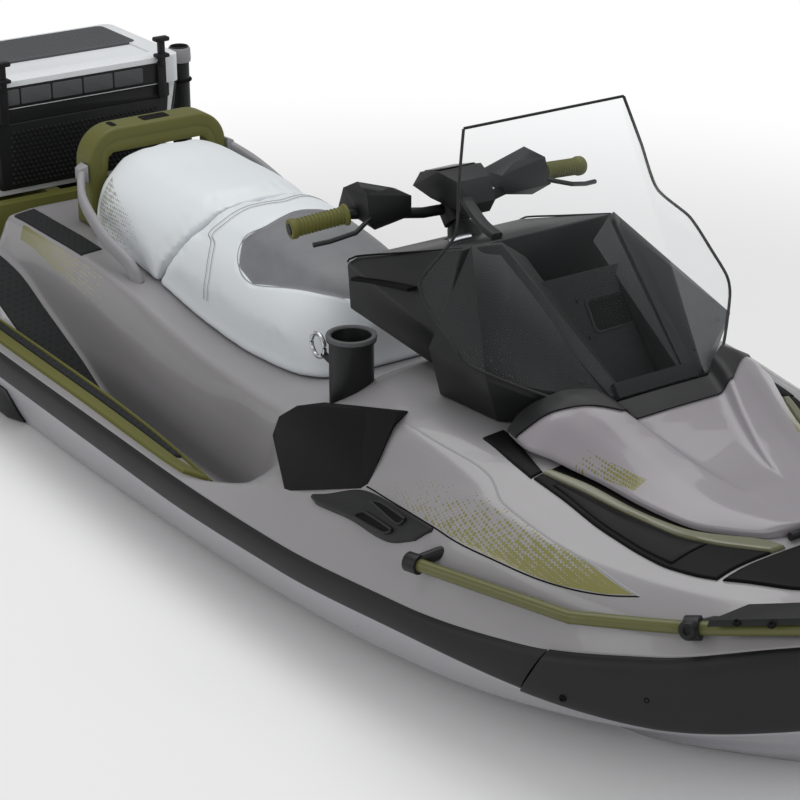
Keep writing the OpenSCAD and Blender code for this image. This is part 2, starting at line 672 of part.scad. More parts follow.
// Dash box behind the cowl, with the column's bore
stem_axis = [-sin(stem_lean), 0, cos(stem_lean)];
pivot = [300, 0, 762];
module along_stem(z) {
    translate(pivot)
        rotate([0, -stem_lean, 0])
            translate([0, 0, z])
                children();
}
column_len = 190;
module dash_box() {
    h = dash_half;
    color(black)
        difference() {
            union() {
                block([
                    [185, h - 20, 575], [185, 20 - h, 575], [205, h, 690], [205, -h, 690],
                    [235, h - 8, 712], [235, 8 - h, 712], [585, h - 30, 828], [585, 30 - h, 828],
                    [592, h + 20, 640], [592, -h - 20, 640], [560, h, 560], [560, -h, 560]
                ]);
                block([
                    [592, h - 40, 546], [592, 40 - h, 546], [480, h - 40, 546], [480, 40 - h, 546],
                    [592, h, 600], [592, -h, 600], [440, h - 20, 600], [440, 20 - h, 600]
                ]);
            }
            along_stem(-column_len - seat_gap) cylinder(d = column_d + 2 * seat_gap, h = 500);
            under_deck(380, 660);
        }
}

// Fixed cover of the steering column, with the bearing bore of the shaft
module column() {
    color(black)
        difference() {
            along_stem(-column_len) {
                cylinder(d = column_d, h = column_len - 40);
                translate([0, 0, column_len - 40]) cylinder(d1 = column_d, d2 = 56, h = 40);
            }
            along_stem(-120) cylinder(d = stem_d + 2 * pin_gap, h = 200);
        }
}

// Handlebar: shaft, clamp and bent tube
clamp_z = 6;
bar_mid = pivot + (clamp_z + 34) * stem_axis;
grip_in = [255, 261, 823];
grip_out_dir = unit([231 - 255, 397 - 261, 807 - 823]);
bar_end = grip_in + (grip_len + 6) * grip_out_dir;
bar_pts = [
    [bar_end.x, -bar_end.y, bar_end.z], [grip_in.x, -grip_in.y, grip_in.z],
    [bar_mid.x + 6, -84, bar_mid.z + 6], bar_mid, [bar_mid.x + 6, 84, bar_mid.z + 6],
    grip_in, bar_end
];
module handlebar() {
    color(black) {
        along_stem(-110) cylinder(d = stem_d, h = 116 + clamp_z);
        along_stem(clamp_z) cylinder(d = 64, h = 46);
        bar(bar_pts, bar_d, 16);
    }
}

module along_grip(t) {
    translate(grip_in + t * grip_out_dir)
        rotate([0, acos(grip_out_dir.z), atan2(grip_out_dir.y, grip_out_dir.x)])
            children();
}

module grips() {
    color(olive)
        both_sides()
            along_grip(4)
                rotate_extrude()
                    polygon([
                        [bar_d / 2 + seat_gap, 0], [grip_d / 2 + 6, 0], [grip_d / 2 + 6, 6], [grip_d / 2, 12],
                        [grip_d / 2, grip_len - 20], [grip_d / 2 + 5, grip_len - 12], [grip_d / 2 + 4, grip_len],
                        [bar_d / 2 + seat_gap, grip_len]
                    ]);
}

// Switch housings inboard of the grips, and the levers that come out of them
module pod_shape() {
    block([
        [205, 132, 812], [300, 128, 806], [198, 250, 822], [312, 246, 812],
        [222, 118, 846], [292, 122, 848], [212, 246, 868], [296, 240, 872],
        [240, 160, 792], [286, 214, 786], [236, 226, 884], [280, 168, 872]
    ]);
}
module control_pods() {
    color(black)
        both_sides()
            difference() {
                pod_shape();
                bar(bar_pts, bar_d + 2 * seat_gap, 16);
            }
}

module levers() {
    color(black)
        both_sides()
            difference() {
                bar([[296, 222, 826], [330, 292, 808], [312, 345, 794], [302, 382, 790]], 11);
                pod_shape();
            }
}

// Gauge housing over the clamp
module gauge_pod() {
    color(black)
        difference() {
            block([
                [210, 62, 838], [210, -62, 838], [216, 46, 868], [216, -46, 868],
                [300, 58, 892], [300, -58, 892], [352, 44, 880], [352, -44, 880],
                [392, 30, 838], [392, -30, 838], [372, 30, 806], [372, -30, 806],
                [270, 56, 824], [270, -56, 824]
            ]);
            along_stem(clamp_z - 1) cylinder(d = 64 + 2 * seat_gap, h = 48);
            bar(bar_pts, bar_d + 2 * seat_gap, 16);
        }
}

// Seat cushions: one faired body, parted by a slanted split
function seat_ring(s) =
    let (b = fair(SEAT, 1, s), y = fair(SEAT, 2, s), sz = fair(SEAT, 3, s), t = fair(SEAT, 4, s))
    let (zb = flat_top(s) + seat_gap, x = kx * s)
    let (half = [
        [b - 12, zb], [b, zb + 14], [b - 2, mix(zb, sz, 0.35)], [mix(b, y, 0.4), mix(zb, sz, 0.75)],
        [y + 8, sz - 8], [0.86 * y, mix(sz, t, 0.5)], [0.5 * y, mix(sz, t, 0.88)]])
    concat([for (p = half) [x, p.x, p.y]], [[x, 0, t]], [for (i = [6 : -1 : 0]) [x, -half[i].x, half[i].y]]);
module seat_body() {
    loft([for (s = concat([-1060, -1034], frames_in(-1010, 60), [80])) seat_ring(s)]);
}
split_foot = -735 * kx;
split_head = -500 * kx;
module seat_side(x_end, gap) {
    translate([0, 500, 0])
        rotate([90, 0, 0])
            linear_extrude(1000)
                polygon([[split_foot + gap, 300], [split_head + gap, 640], [x_end, 640], [x_end, 300]]);
}

module seat_front() {
    color(white)
        intersection() {
            seat_body();
            seat_side(300, seat_split);
        }
}

module seat_rear() {
    color(white)
        intersection() {
            seat_body();
            seat_side(-1400, 0);
        }
}

// Arch behind the seat
arch_x = -1150 * kx;
arch_half = 214;
arch_foot = deck_top(-1140) + seat_gap;
module arch_outline(inset) {
    hull() {
        for (y = [-1, 1]) {
            translate([y * (arch_half - inset - 1), -1]) square([2, 2], center = true);
            translate([y * (arch_half - 96), arch_h - 92]) circle(r = 92 - inset);
        }
    }
}
module grab_arch() {
    color(olive)
        translate([arch_x, 0, arch_foot])
            rotate([90, 0, 90])
                linear_extrude(arch_w)
                    difference() {
                        intersection() {
                            arch_outline(0);
                            translate([-400, 0]) square([800, 600]);
                        }
                        arch_outline(arch_t);
                    }
}

module grab_straps() {
    color("#8d8c90")
        both_sides()
            difference() {
                bar([
                    [arch_x + arch_w - 20, arch_half + 8, arch_foot + 150],
                    [arch_x + arch_w + 70, 268, arch_foot + 108],
                    [-850 * kx, 288, 458], [-740 * kx, 276, 412], [-715 * kx, 268, 368]
                ], 24);
                under_deck(-900, -600);
                translate([arch_x - 10, 0, 300]) cube([arch_w + 20, arch_half + seat_gap, 400]);
            }
}

// Foot mats, the strips on the footwells' outer walls, and the mats of the rear deck
module foot_mats() {
    color(black)
        both_sides()
            on_deck(-1300, 60) deck_sheet(-1300, 60, [4.06, 4.5, 4.94], mat_t);
}

module footrests() {
    color(olive)
        both_sides()
            on_deck(-1130, 60) deck_sheet(-1130, 60, [2.04, 2.5, 2.96], 9);
}

platform_top = deck_top(stern_s);
platform_half = 548;
cooler_half = cooler_w / 2;
rack_half = cooler_half + 30;
module rear_mats() {
    color(black) {
        both_sides()
            on_deck(-1300, -920) deck_sheet(-1300, -920, [7.08, 7.5, 7.92], mat_t);
        both_sides()
            translate([stern - platform_len + 28, rack_half + 76, platform_top + seat_gap])
                cube([platform_len - 40, platform_half - rack_half - 110, mat_t]);
    }
}

module platform() {
    r = 90;
    color(black) {
        translate([stern - seat_gap - platform_len, 0, platform_top - platform_t])
            linear_extrude(platform_t)
                hull() {
                    for (y = [-1, 1]) {
                        translate([r, y * (platform_half - r)]) circle(r = r);
                        translate([platform_len - 1, y * (platform_half - 1)]) square([2, 2], center = true);
                    }
                }
        for (y = [step_y0 - step_d / 2 - 17, step_y1 + step_d / 2 + 5])
            translate([step_x, y, step_z])
                difference() {
                    translate([-20, 0, -20]) cube([40, 12, platform_top - platform_t - step_z + 22]);
                    translate([0, -1, 0]) rotate([-90, 0, 0]) cylinder(d = step_d + 2 * pin_gap, h = 20);
                }
    }
}

// Cargo rack under the cooler: a grid of ribs, with ears for the rod holders
rack_x0 = stern - platform_len + 10;
rack_len = platform_len + 130;
rack_z = platform_top + seat_gap;
rack_rib = 40;
window_x = (rack_len - 3 * rack_rib) / 2;
window_y = (2 * rack_half - 4 * rack_rib) / 3;
ear_x = stern - 10;
ear_y = rack_half + 28;
module rack() {
    color(olive)
        difference() {
            union() {
                translate([rack_x0, -rack_half, rack_z]) cube([rack_len, 2 * rack_half, rack_h]);
                both_sides()
                    translate([ear_x, ear_y, rack_z]) cylinder(d = 74, h = 40);
            }
            for (i = [0 : 1], j = [0 : 2])
                translate([
                    rack_x0 + rack_rib + i * (window_x + rack_rib),
                    -rack_half + rack_rib + j * (window_y + rack_rib),
                    rack_z - 1
                ])
                    cube([window_x, window_y, rack_h + 2]);
            both_sides()
                translate([rack_x0 + 60, rack_half - 60, rack_z + 50]) cube([rack_len - 120, 80, rack_h - 66]);
            both_sides()
                translate([ear_x, ear_y, rack_z + 12])
                    cylinder(d = rod_bore + 2 * rod_wall + 2 * seat_gap, h = 400);
        }
}

// Cooler: tapered body, lid with its hinge at the rear, front panel and latches
cooler_x1 = -1500 * kx;
cooler_x0 = cooler_x1 - cooler_len;
cooler_z = rack_z + rack_h + seat_gap;
cooler_top = cooler_z + cooler_h;
taper = 52;
module cooler_shape(inset, z0, z1) {
    hull() {
        translate([cooler_x0 + taper + inset, -cooler_half + taper + inset, z0])
            cube([cooler_len - 1.6 * taper - 2 * inset, cooler_w - 2 * taper - 2 * inset, 1]);
        translate([cooler_x0 + 14 + inset, -cooler_half + 14 + inset, z1 - 1])
            cube([cooler_len - 28 - 2 * inset, cooler_w - 28 - 2 * inset, 1]);
    }
}

// Hinges behind the lid: the body bears knuckles and pins, the lid the barrels between them
lid_hinge_x = cooler_x0 - 15;
lid_hinge_z = cooler_top + seat_gap / 2;
lid_hinge_y = 170;
lid_barrel = 60;
lid_knuckle = 18;
module cooler_body() {
    color(white)
        difference() {
            union() {
                cooler_shape(0, cooler_z, cooler_top);
                both_sides() {
                    for (y = [lid_hinge_y - lid_barrel / 2 - 25, lid_hinge_y + lid_barrel / 2 + 1]) {
                        along_y(lid_hinge_x, y, lid_hinge_z) cylinder(d = lid_knuckle, h = 24);
                        translate([lid_hinge_x - lid_knuckle / 2, y, lid_hinge_z - 24]) cube([lid_knuckle, 24, 24]);
                        translate([lid_hinge_x, y, lid_hinge_z - 24]) cube([46, 24, 18]);
                    }
                    along_y(lid_hinge_x, lid_hinge_y - lid_barrel / 2 - 10, lid_hinge_z)
                        cylinder(d = hinge_pin, h = lid_barrel + 20);
                }
            }
            cooler_shape(cooler_wall, cooler_z + cooler_wall, cooler_top + 1);
        }
}

// Cover on the cooler's front, parallel to the tapered face
module cooler_panel() {
    z0 = cooler_z + 18;
    z1 = cooler_top - 42;
    x0 = mix(cooler_x1 - 0.6 * taper, cooler_x1 - 14, (z0 - cooler_z) / cooler_h) + seat_gap;
    x1 = mix(cooler_x1 - 0.6 * taper, cooler_x1 - 14, (z1 - cooler_z) / cooler_h) + seat_gap;
    y0 = cooler_half - taper + 2;
    y1 = cooler_half - 36;
    color(black)
        block([
            [x0, y0, z0], [x0, -y0, z0], [x0 + 14, y0 - 8, z0], [x0 + 14, 8 - y0, z0],
            [x1, y1, z1], [x1, -y1, z1], [x1 + 14, y1 - 8, z1], [x1 + 14, 8 - y1, z1]
        ]);
}

module cooler_lid() {
    r = 30;
    color(white)
        difference() {
            union() {
                translate([cooler_x0, -cooler_half, cooler_top + seat_gap])
                    linear_extrude(lid_t)
                        hull()
                            for (x = [r, cooler_len - r], y = [r, cooler_w - r]) translate([x, y]) circle(r = r);
                both_sides() {
                    along_y(lid_hinge_x, lid_hinge_y - lid_barrel / 2, lid_hinge_z)
                        cylinder(d = lid_knuckle, h = lid_barrel);
                    translate([lid_hinge_x, lid_hinge_y - lid_barrel / 2, lid_hinge_z + seat_gap])
                        cube([24, lid_barrel, 16]);
                }
            }
            both_sides()
                along_y(lid_hinge_x, lid_hinge_y - lid_barrel, lid_hinge_z)
                    cylinder(d = hinge_pin + 2 * pin_gap, h = 2 * lid_barrel);
            translate([cooler_x0 + 60, -cooler_half + 60, cooler_top + seat_gap + lid_t - 6])
                cube([cooler_len - 130, cooler_w - 120, 20]);
        }
}

module cooler_latches() {
    x = cooler_x1 + seat_gap;
    z = cooler_top + seat_gap + lid_t;
    color(black)
        for (y = [-1, 1]) translate([x, y * (cooler_half - 66), z]) {
            translate([0, -13, -118]) cube([9, 26, 112]);
            translate([0, -34, -8]) cube([16, 68, 22]);
        }
}

module rod_holders() {
    color(black)
        both_sides()
            translate([ear_x, ear_y, rack_z + 12 + seat_gap])
                difference() {
                    cylinder(d = rod_bore + 2 * rod_wall, h = rod_len);
                    translate([0, 0, 20]) cylinder(d = rod_bore, h = rod_len);
                }
}

// Leg deflectors ahead of the footwells, faceted boxes that stand out from the shoulders
deflector = [for (p = [
    [405, 528, 297], [300, 492, 378], [312, 482, 424], [351, 460, 458], [431, 442, 490], [586, 440, 530],
    [655, 430, 550], [683, 430, 548], [664, 489, 404], [648, 496, 390],
    [420, 450, 300], [345, 400, 360], [372, 390, 452], [650, 372, 532]
]) [kx * p.x, ky * p.y, p.z]];
module deflector_room(gap) {
    block([for (p = deflector, x = [-gap, gap], y = [-gap, gap], z = [-gap, gap]) p + [x, y, z]]);
}
module leg_deflectors() {
    color(black)
        both_sides()
            on_deck(280, 700) block(deflector);
}

// Cup holders on the shoulders behind the cowl
cup_x = 415 * kx;
cup_y = 362 * ky;
cup_top = 618;
module cup_holders() {
    color(black)
        both_sides()
            difference() {
                union() {
                    translate([cup_x, cup_y, 400]) cylinder(d = cup_bore + 2 * cup_wall, h = cup_top - 400);
                    translate([cup_x, cup_y, cup_top - 10]) cylinder(d = cup_bore + 2 * cup_wall + 12, h = 10);
                }
                under_deck(280, 560);
                translate([cup_x, cup_y, cup_top - 100]) cylinder(d = cup_bore, h = 200);
                deflector_room(2 * seat_gap);
            }
}

// Side vents under the panel's lower line: frame, lower and upper edge as places across the deck
VENT = [
    [505, 2.55, 3.02],
    [536, 2.10, 3.16],
    [660, 1.92, 3.66],
    [800, 1.77, 3.34],
    [880, 1.95, 3.08],
    [920, 2.70, 2.96]
];
module side_vents() {
    color(black)
        both_sides()
            difference() {
                on_deck(500, 930) deck_patch(VENT, 8);
                deflector_room(2);
            }
}

// Stabiliser fins low on the hull's sides, aft
module sponsons() {
    us = [1.35, 1.7, 2, 2.5, 2.8];
    n = len(us);
    list = frames_in(-1520, -790);
    color(black)
        both_sides()
            loft([for (i = [0 : len(list) - 1])
                let (s = list[i], t = (i == 0 || i == len(list) - 1) ? 6 : 24)
                concat(
                    [for (j = [0 : n - 1]) let (p = hull_at(s, us[j]) + seat_gap * hull_normal(s, us[j]))
                        [kx * s, p.x, p.y]],
                    [for (j = [n - 1 : -1 : 0])
                        let (d = (j == 0 || j == n - 1) ? 4 : t)
                        let (p = hull_at(s, us[j]) + (seat_gap + d) * hull_normal(s, us[j]))
                        [kx * s, p.x, p.y]])],
                strips = true);
}

// Plate under the pump
module ride_plate() {
    color(black)
        translate([stern - 30, -tunnel_half + seat_gap, plate_z])
            difference() {
                cube([tunnel_x - stern + 30 - seat_gap, 2 * tunnel_half - 2 * seat_gap, plate_t]);
                for (y = [-80, 0, 80]) translate([-1, tunnel_half + y - 12, -1]) cube([tunnel_x - stern - 40, 24, 5]);
            }
}

// Jet pump: flanged housing with stator, outlet cone, nozzle pins and bucket brackets
pump_x0 = stern + 40;
pump_x1 = stern + 330;
pump_r = pump_bore / 2 + pump_wall;
cone_len = 60;
spout_len = 60;
outlet_r = 52;
nozzle_x = pump_x0 - cone_len - spout_len + 28;
bracket_y = 106;
imp_x0 = pump_x0 + 118;
imp_len = 92;
module along_x(x, z = -pump_deep) {
    translate([x, 0, z]) rotate([0, 90, 0]) children();
}
module pump() {
    color("#5c5f63")
        difference() {
            union() {
                along_x(pump_x0) cylinder(r = pump_r, h = pump_x1 - pump_x0);
                along_x(pump_x1 - 16) cylinder(r = pump_r + 14, h = 16);
                along_x(pump_x0 - cone_len) cylinder(r1 = outlet_r, r2 = pump_r, h = cone_len);
                along_x(pump_x0 - cone_len - spout_len) cylinder(r = outlet_r, h = spout_len + 1);
                translate([pump_x0 + 20, -60, -pump_deep])
                    cube([220, 120, pump_deep + tunnel_top - seat_gap]);
                translate([pump_x0 + 20, -60, plate_z + plate_t + seat_gap])
                    cube([220, 120, -pump_deep - plate_z - plate_t - seat_gap]);
                both_sides()
                    translate([nozzle_x - 20, bracket_y - 10, -pump_deep - 20])
                        cube([pump_x0 - nozzle_x + 70, 10, 40]);
                both_sides()
                    translate([pump_x0 + 20, pump_r - 20, -pump_deep - 20])
                        cube([50, bracket_y - pump_r + 20, 40]);
                translate([nozzle_x, 0, -pump_deep - outlet_r - 34]) cylinder(d = pivot_d, h = 2 * outlet_r + 68);
                both_sides()
                    translate([nozzle_x, bracket_y + 26, -pump_deep])
                        rotate([90, 0, 0]) cylinder(d = pivot_d, h = 32);
            }
            along_x(pump_x0 - 1) cylinder(d = pump_bore, h = pump_x1 - pump_x0 + 2);
            along_x(pump_x0 - cone_len) cylinder(r1 = outlet_r - 8, r2 = pump_bore / 2, h = cone_len + 0.01);
            along_x(pump_x0 - cone_len - spout_len - 1) cylinder(r = outlet_r - 8, h = spout_len + 1.01);
        }
    color("#5c5f63")
        difference() {
            union() {
                along_x(pump_x0 + 12) cylinder(r = 32, h = 88);
                for (a = [0 : 60 : 300])
                    along_x(pump_x0 + 30) rotate([0, 0, a]) translate([20, -3, 0])
                        cube([pump_bore / 2 - 20 + 2, 6, 60]);
            }
            along_x(pump_x0 + 50) cylinder(d = 24 + 2 * pin_gap, h = 60);
        }
}

// Point at radius r and angle a about the pump's axis, moved sideways by w
function spoke(x, r, a, w) = [x, r * cos(a) - w * sin(a), -pump_deep + r * sin(a) + w * cos(a)];

// Impeller on the drive shaft, with a stub that runs in the stator's bearing
module impeller() {
    tip = pump_bore / 2 - tip_gap;
    color(steel) {
        along_x(pump_x0 + 60) cylinder(d = 24, h = imp_x0 - pump_x0 - 60);
        along_x(imp_x0) cylinder(r1 = 26, r2 = 34, h = imp_len);
        along_x(imp_x0 + imp_len) cylinder(d = shaft_d, h = room_x0 + 24 - imp_x0 - imp_len);
        for (i = [0 : blades - 1])
            loft([for (j = [0 : 6]) let (x = imp_x0 + 6 + (imp_len - 12) * j / 6, a = i * 360 / blades + 14 * j) [
                spoke(x, 22, a, -3), spoke(x, tip, a, -3), spoke(x, tip, a, 3), spoke(x, 22, a, 3)]]);
    }
}

// Steering nozzle on the two upright pins
nozzle_r = 82;
module nozzle() {
    color("#3b3d40")
        difference() {
            along_x(nozzle_x - 150)
                rotate_extrude()
                    polygon([
                        [46, 0], [56, 0], [62, 58], [nozzle_r, 118], [nozzle_r, 166],
                        [nozzle_r - 10, 166], [nozzle_r - 10, 118], [52, 58]
                    ]);
            translate([nozzle_x, 0, -300]) cylinder(d = pivot_d + 2 * pin_gap, h = 400);
        }
}

// Reverse bucket, stowed above the nozzle on the two level pins
bucket_r = 188;
bucket_half = 118;
module bucket() {
    color("#3b3d40")
        translate([nozzle_x, 0, -pump_deep])
            difference() {
                union() {
                    rotate([90, 0, 0])
                        translate([0, 0, -bucket_half - 12])
                            linear_extrude(2 * bucket_half + 24)
                                difference() {
                                    circle(r = bucket_r);
                                    circle(r = bucket_r - 10);
                                    bucket_keep();
                                }
                    both_sides()
                        translate([0, bucket_half + 12, 0])
                            rotate([90, 0, 0])
                                linear_extrude(8)
                                    union() {
                                        circle(r = 22);
                                        difference() {
                                            circle(r = bucket_r - 4);
                                            bucket_keep();
                                        }
                                    }
                }
                translate([0, 300, 0]) rotate([90, 0, 0]) cylinder(d = pivot_d + 2 * pin_gap, h = 600);
            }
}
// Everything outside the sector that the bucket fills
module bucket_keep() {
    polygon([[0, 0], [500 * cos(155), 500 * sin(155)], [-600, -600], [600, -600], [600, 600],
        [500 * cos(78), 500 * sin(78)]]);
}

// Bars across the water intake, on the plate's front end
grate_d = 12;
grate_z = plate_z + plate_t + seat_gap + grate_d / 2;
module intake_grate() {
    color(steel)
        for (y = [-36, 0, 36])
            bar([[tunnel_x - 60, y, grate_z], [tunnel_x + 235, y, grate_z]], grate_d);
}

// Engine as one block on the floor of its room
module engine() {
    color("#4a4c4f")
        translate([room_x0 + 30, -room_half + 20, room_floor + seat_gap])
            cube([room_x1 - room_x0 - 60, 2 * room_half - 40, 330]);
}

// Tow eyes on the stem and the transom
eye_t = 16;
module eye(reach) {
    difference() {
        hull() {
            translate([0, eye_t / 2, 0])
                rotate([90, 0, 0])
                    translate([reach, 0, 0]) cylinder(d = eye_bore + 20, h = eye_t);
            translate([0, -eye_t / 2, -22]) cube([6, eye_t, 44]);
        }
        translate([reach, 50, 0]) rotate([90, 0, 0]) cylinder(d = eye_bore, h = 100);
    }
}
eye_y = 300;
eye_z = 110;
bow_eye_z = 280;
module tow_eyes() {
    color(steel) {
        translate([kx * 1840 + seat_gap, 0, bow_eye_z]) eye(24);
        for (y = [-eye_y, eye_y]) translate([stern - seat_gap, y, eye_z]) rotate([0, 0, 180]) eye(28);
    }
}

// Folding boarding step under the platform
step_x = stern - platform_len + 60;
step_z = platform_top - platform_t - 26;
step_y0 = 190;
step_y1 = 420;
step_d = 22;
module boarding_step() {
    reach = 210;
    color(black) {
        bar([[step_x, step_y0, step_z], [step_x + reach, step_y0, step_z],
            [step_x + reach, step_y1, step_z], [step_x, step_y1, step_z]], step_d);
        translate([step_x, step_y1 + 28, step_z]) rotate([90, 0, 0]) cylinder(d = step_d, h = step_y1 - step_y0 + 56);
    }
}

hull_shell();
deck();
bumper();
bow_bumper();
bow_rails();
rail_fittings();
hood();
lamp_pods();
lamp_trims();
cowl();
windshield();
dash_box();
column();
handlebar();
grips();
control_pods();
levers();
gauge_pod();
seat_front();
seat_rear();
grab_arch();
grab_straps();
foot_mats();
footrests();
rear_mats();
platform();
rack();
cooler_body();
cooler_panel();
cooler_lid();
cooler_latches();
rod_holders();
leg_deflectors();
cup_holders();
side_vents();
sponsons();
ride_plate();
pump();
impeller();
nozzle();
bucket();
intake_grate();
engine();
tow_eyes();
boarding_step();
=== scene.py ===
import bpy, bmesh, json, math
from bisect import bisect_right
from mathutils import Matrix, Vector
from mathutils.bvhtree import BVHTree


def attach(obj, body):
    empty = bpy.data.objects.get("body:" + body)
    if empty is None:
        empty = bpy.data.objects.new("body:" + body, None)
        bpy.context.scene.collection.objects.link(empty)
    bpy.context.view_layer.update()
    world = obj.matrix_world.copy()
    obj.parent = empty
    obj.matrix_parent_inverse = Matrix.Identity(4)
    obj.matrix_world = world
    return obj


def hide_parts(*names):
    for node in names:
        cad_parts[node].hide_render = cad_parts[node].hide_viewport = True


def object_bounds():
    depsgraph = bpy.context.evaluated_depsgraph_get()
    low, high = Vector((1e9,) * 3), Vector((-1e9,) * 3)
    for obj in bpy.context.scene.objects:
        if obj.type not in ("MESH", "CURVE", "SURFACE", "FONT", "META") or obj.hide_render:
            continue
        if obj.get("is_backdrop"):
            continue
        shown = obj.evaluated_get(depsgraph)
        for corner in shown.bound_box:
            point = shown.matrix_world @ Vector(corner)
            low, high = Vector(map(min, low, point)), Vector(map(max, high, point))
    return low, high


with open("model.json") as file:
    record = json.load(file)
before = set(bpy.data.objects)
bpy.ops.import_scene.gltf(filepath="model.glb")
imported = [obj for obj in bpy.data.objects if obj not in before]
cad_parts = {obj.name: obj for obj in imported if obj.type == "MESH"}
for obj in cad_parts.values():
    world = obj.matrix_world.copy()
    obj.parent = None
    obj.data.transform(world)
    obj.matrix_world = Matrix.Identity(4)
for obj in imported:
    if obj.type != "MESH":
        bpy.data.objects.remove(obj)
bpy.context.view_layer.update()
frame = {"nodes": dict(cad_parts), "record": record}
nodes = frame["nodes"]
bodyOf = {n: b for b, members in frame["record"]["behaviour"]["bodies"].items() for n in members}
slotOf = {p["node"]: p["material_slot"] for p in frame["record"]["subparts"]}
print("frame loaded:", len(nodes), "nodes")


def placed(tree, kind, settings=None, sockets=None):
    # node with its settings, and its inputs linked or set
    one = tree.nodes.new(kind)
    for key, value in (settings or {}).items():
        setattr(one, key, value)
    for key, value in (sockets or {}).items():
        if hasattr(value, "is_output"):
            tree.links.new(value, one.inputs[key])
        else:
            one.inputs[key].default_value = value
    return one


# shader maths: a socket that takes part in Python expressions
class Wire:
    def __init__(self, shade, socket):
        self.shade, self.socket = shade, socket

    def maths(self, operation, a, b=0.0):
        return self.shade.node("ShaderNodeMath", {"operation": operation}, {0: a, 1: b})

    def __add__(self, other): return self.maths("ADD", self, other)
    def __radd__(self, other): return self.maths("ADD", other, self)
    def __sub__(self, other): return self.maths("SUBTRACT", self, other)
    def __rsub__(self, other): return self.maths("SUBTRACT", other, self)
    def __mul__(self, other): return self.maths("MULTIPLY", self, other)
    def __rmul__(self, other): return self.maths("MULTIPLY", other, self)
    def __truediv__(self, other): return self.maths("DIVIDE", self, other)
    def __rtruediv__(self, other): return self.maths("DIVIDE", other, self)
    def __lt__(self, other): return self.maths("LESS_THAN", self, other)
    def __gt__(self, other): return self.maths("GREATER_THAN", self, other)
    def __abs__(self): return self.maths("ABSOLUTE", self)
    def fract(self): return self.maths("FRACT", self)
    def floor(self): return self.maths("FLOOR", self)


class Shade:
    def __init__(self, name):
        self.material = bpy.data.materials.new(name)
        self.material.use_nodes = True
        self.tree = self.material.node_tree
        self.bsdf = self.tree.nodes["Principled BSDF"]
        self.place = self.node("ShaderNodeTexCoord", out="Object")

    def node(self, kind, settings=None, sockets=None, out=0):
        sockets = {key: value.socket if isinstance(value, Wire) else value for key, value in (sockets or {}).items()}
        return Wire(self, placed(self.tree, kind, settings, sockets).outputs[out])

    def set(self, **sockets):
        names = {"color": "Base Color", "roughness": "Roughness", "metallic": "Metallic", "coat": "Coat Weight",
                 "ior": "IOR", "specular": "Specular IOR Level", "normal": "Normal"}
        for key, value in sockets.items():
            socket = self.bsdf.inputs[names[key]]
            if isinstance(value, Wire):
                self.tree.links.new(value.socket, socket)
            elif key == "color":
                socket.default_value = (*value, 1)
            else:
                socket.default_value = value

    def noise(self, scale, detail=3):
        return self.node("ShaderNodeTexNoise", {}, {"Vector": self.place, "Scale": scale, "Detail": detail}, "Fac")

    def blend(self, factor, a, b):
        pick = lambda c: c if isinstance(c, Wire) else (*c, 1)
        return self.node("ShaderNodeMix", {"data_type": "RGBA"}, {0: factor, 6: pick(a), 7: pick(b)}, 2)

    def bump(self, height, strength, depth):
        return self.node("ShaderNodeBump", {}, {"Height": height, "Strength": strength, "Distance": depth})

    def split(self, vector):
        parts = placed(self.tree, "ShaderNodeSeparateXYZ", {}, {0: vector.socket}).outputs
        return [Wire(self, parts[i]) for i in range(3)]

    def along(self, x, points, top):
        # height of a broken line over x, as a ramp of greys
        x0, x1 = points[0][0], points[-1][0]
        greys = placed(self.tree, "ShaderNodeValToRGB", {}, {0: ((x - x0) / (x1 - x0)).socket})
        stops = greys.color_ramp.elements
        while len(stops) < len(points):
            stops.new(0.5)
        for stop, (p, v) in zip(stops, points):
            stop.position, stop.color = (p - x0) / (x1 - x0), (v / top,) * 3 + (1,)
        return Wire(self, greys.outputs["Color"]) * top

    def between(self, x, low, high):
        return (x > low) * (x < high)

    def ramp(self, x, x0, x1, low=0.0, high=1.0, shape="LINEAR"):
        return self.node("ShaderNodeMapRange", {"interpolation_type": shape}, {0: x, 1: x0, 2: x1, 3: low, 4: high})

    def mottled(self, tone):
        return self.blend(self.noise(3.0, 4), tuple(c * 0.94 for c in tone), tuple(c * 1.05 for c in tone))

    def dots(self, a, b, cell, strength):
        # staggered rhombs that shrink with the strength
        row = (b / cell).floor()
        a = a / cell + row * 0.5
        fa, fb = abs(a.fract() - 0.5), abs((b / cell).fract() - 0.5)
        cellAt = self.node("ShaderNodeCombineXYZ", {}, {0: a.floor(), 1: row})
        luck = self.node("ShaderNodeTexWhiteNoise", {"noise_dimensions": "2D"}, {"Vector": cellAt}, "Value")
        return (fa + fb) < (strength + (luck - 0.5) * 0.35)


def linear(r, g, b):
    return tuple(((c / 255) / 12.92 if c <= 10 else ((c / 255 + 0.055) / 1.055) ** 2.4) for c in (r, g, b))


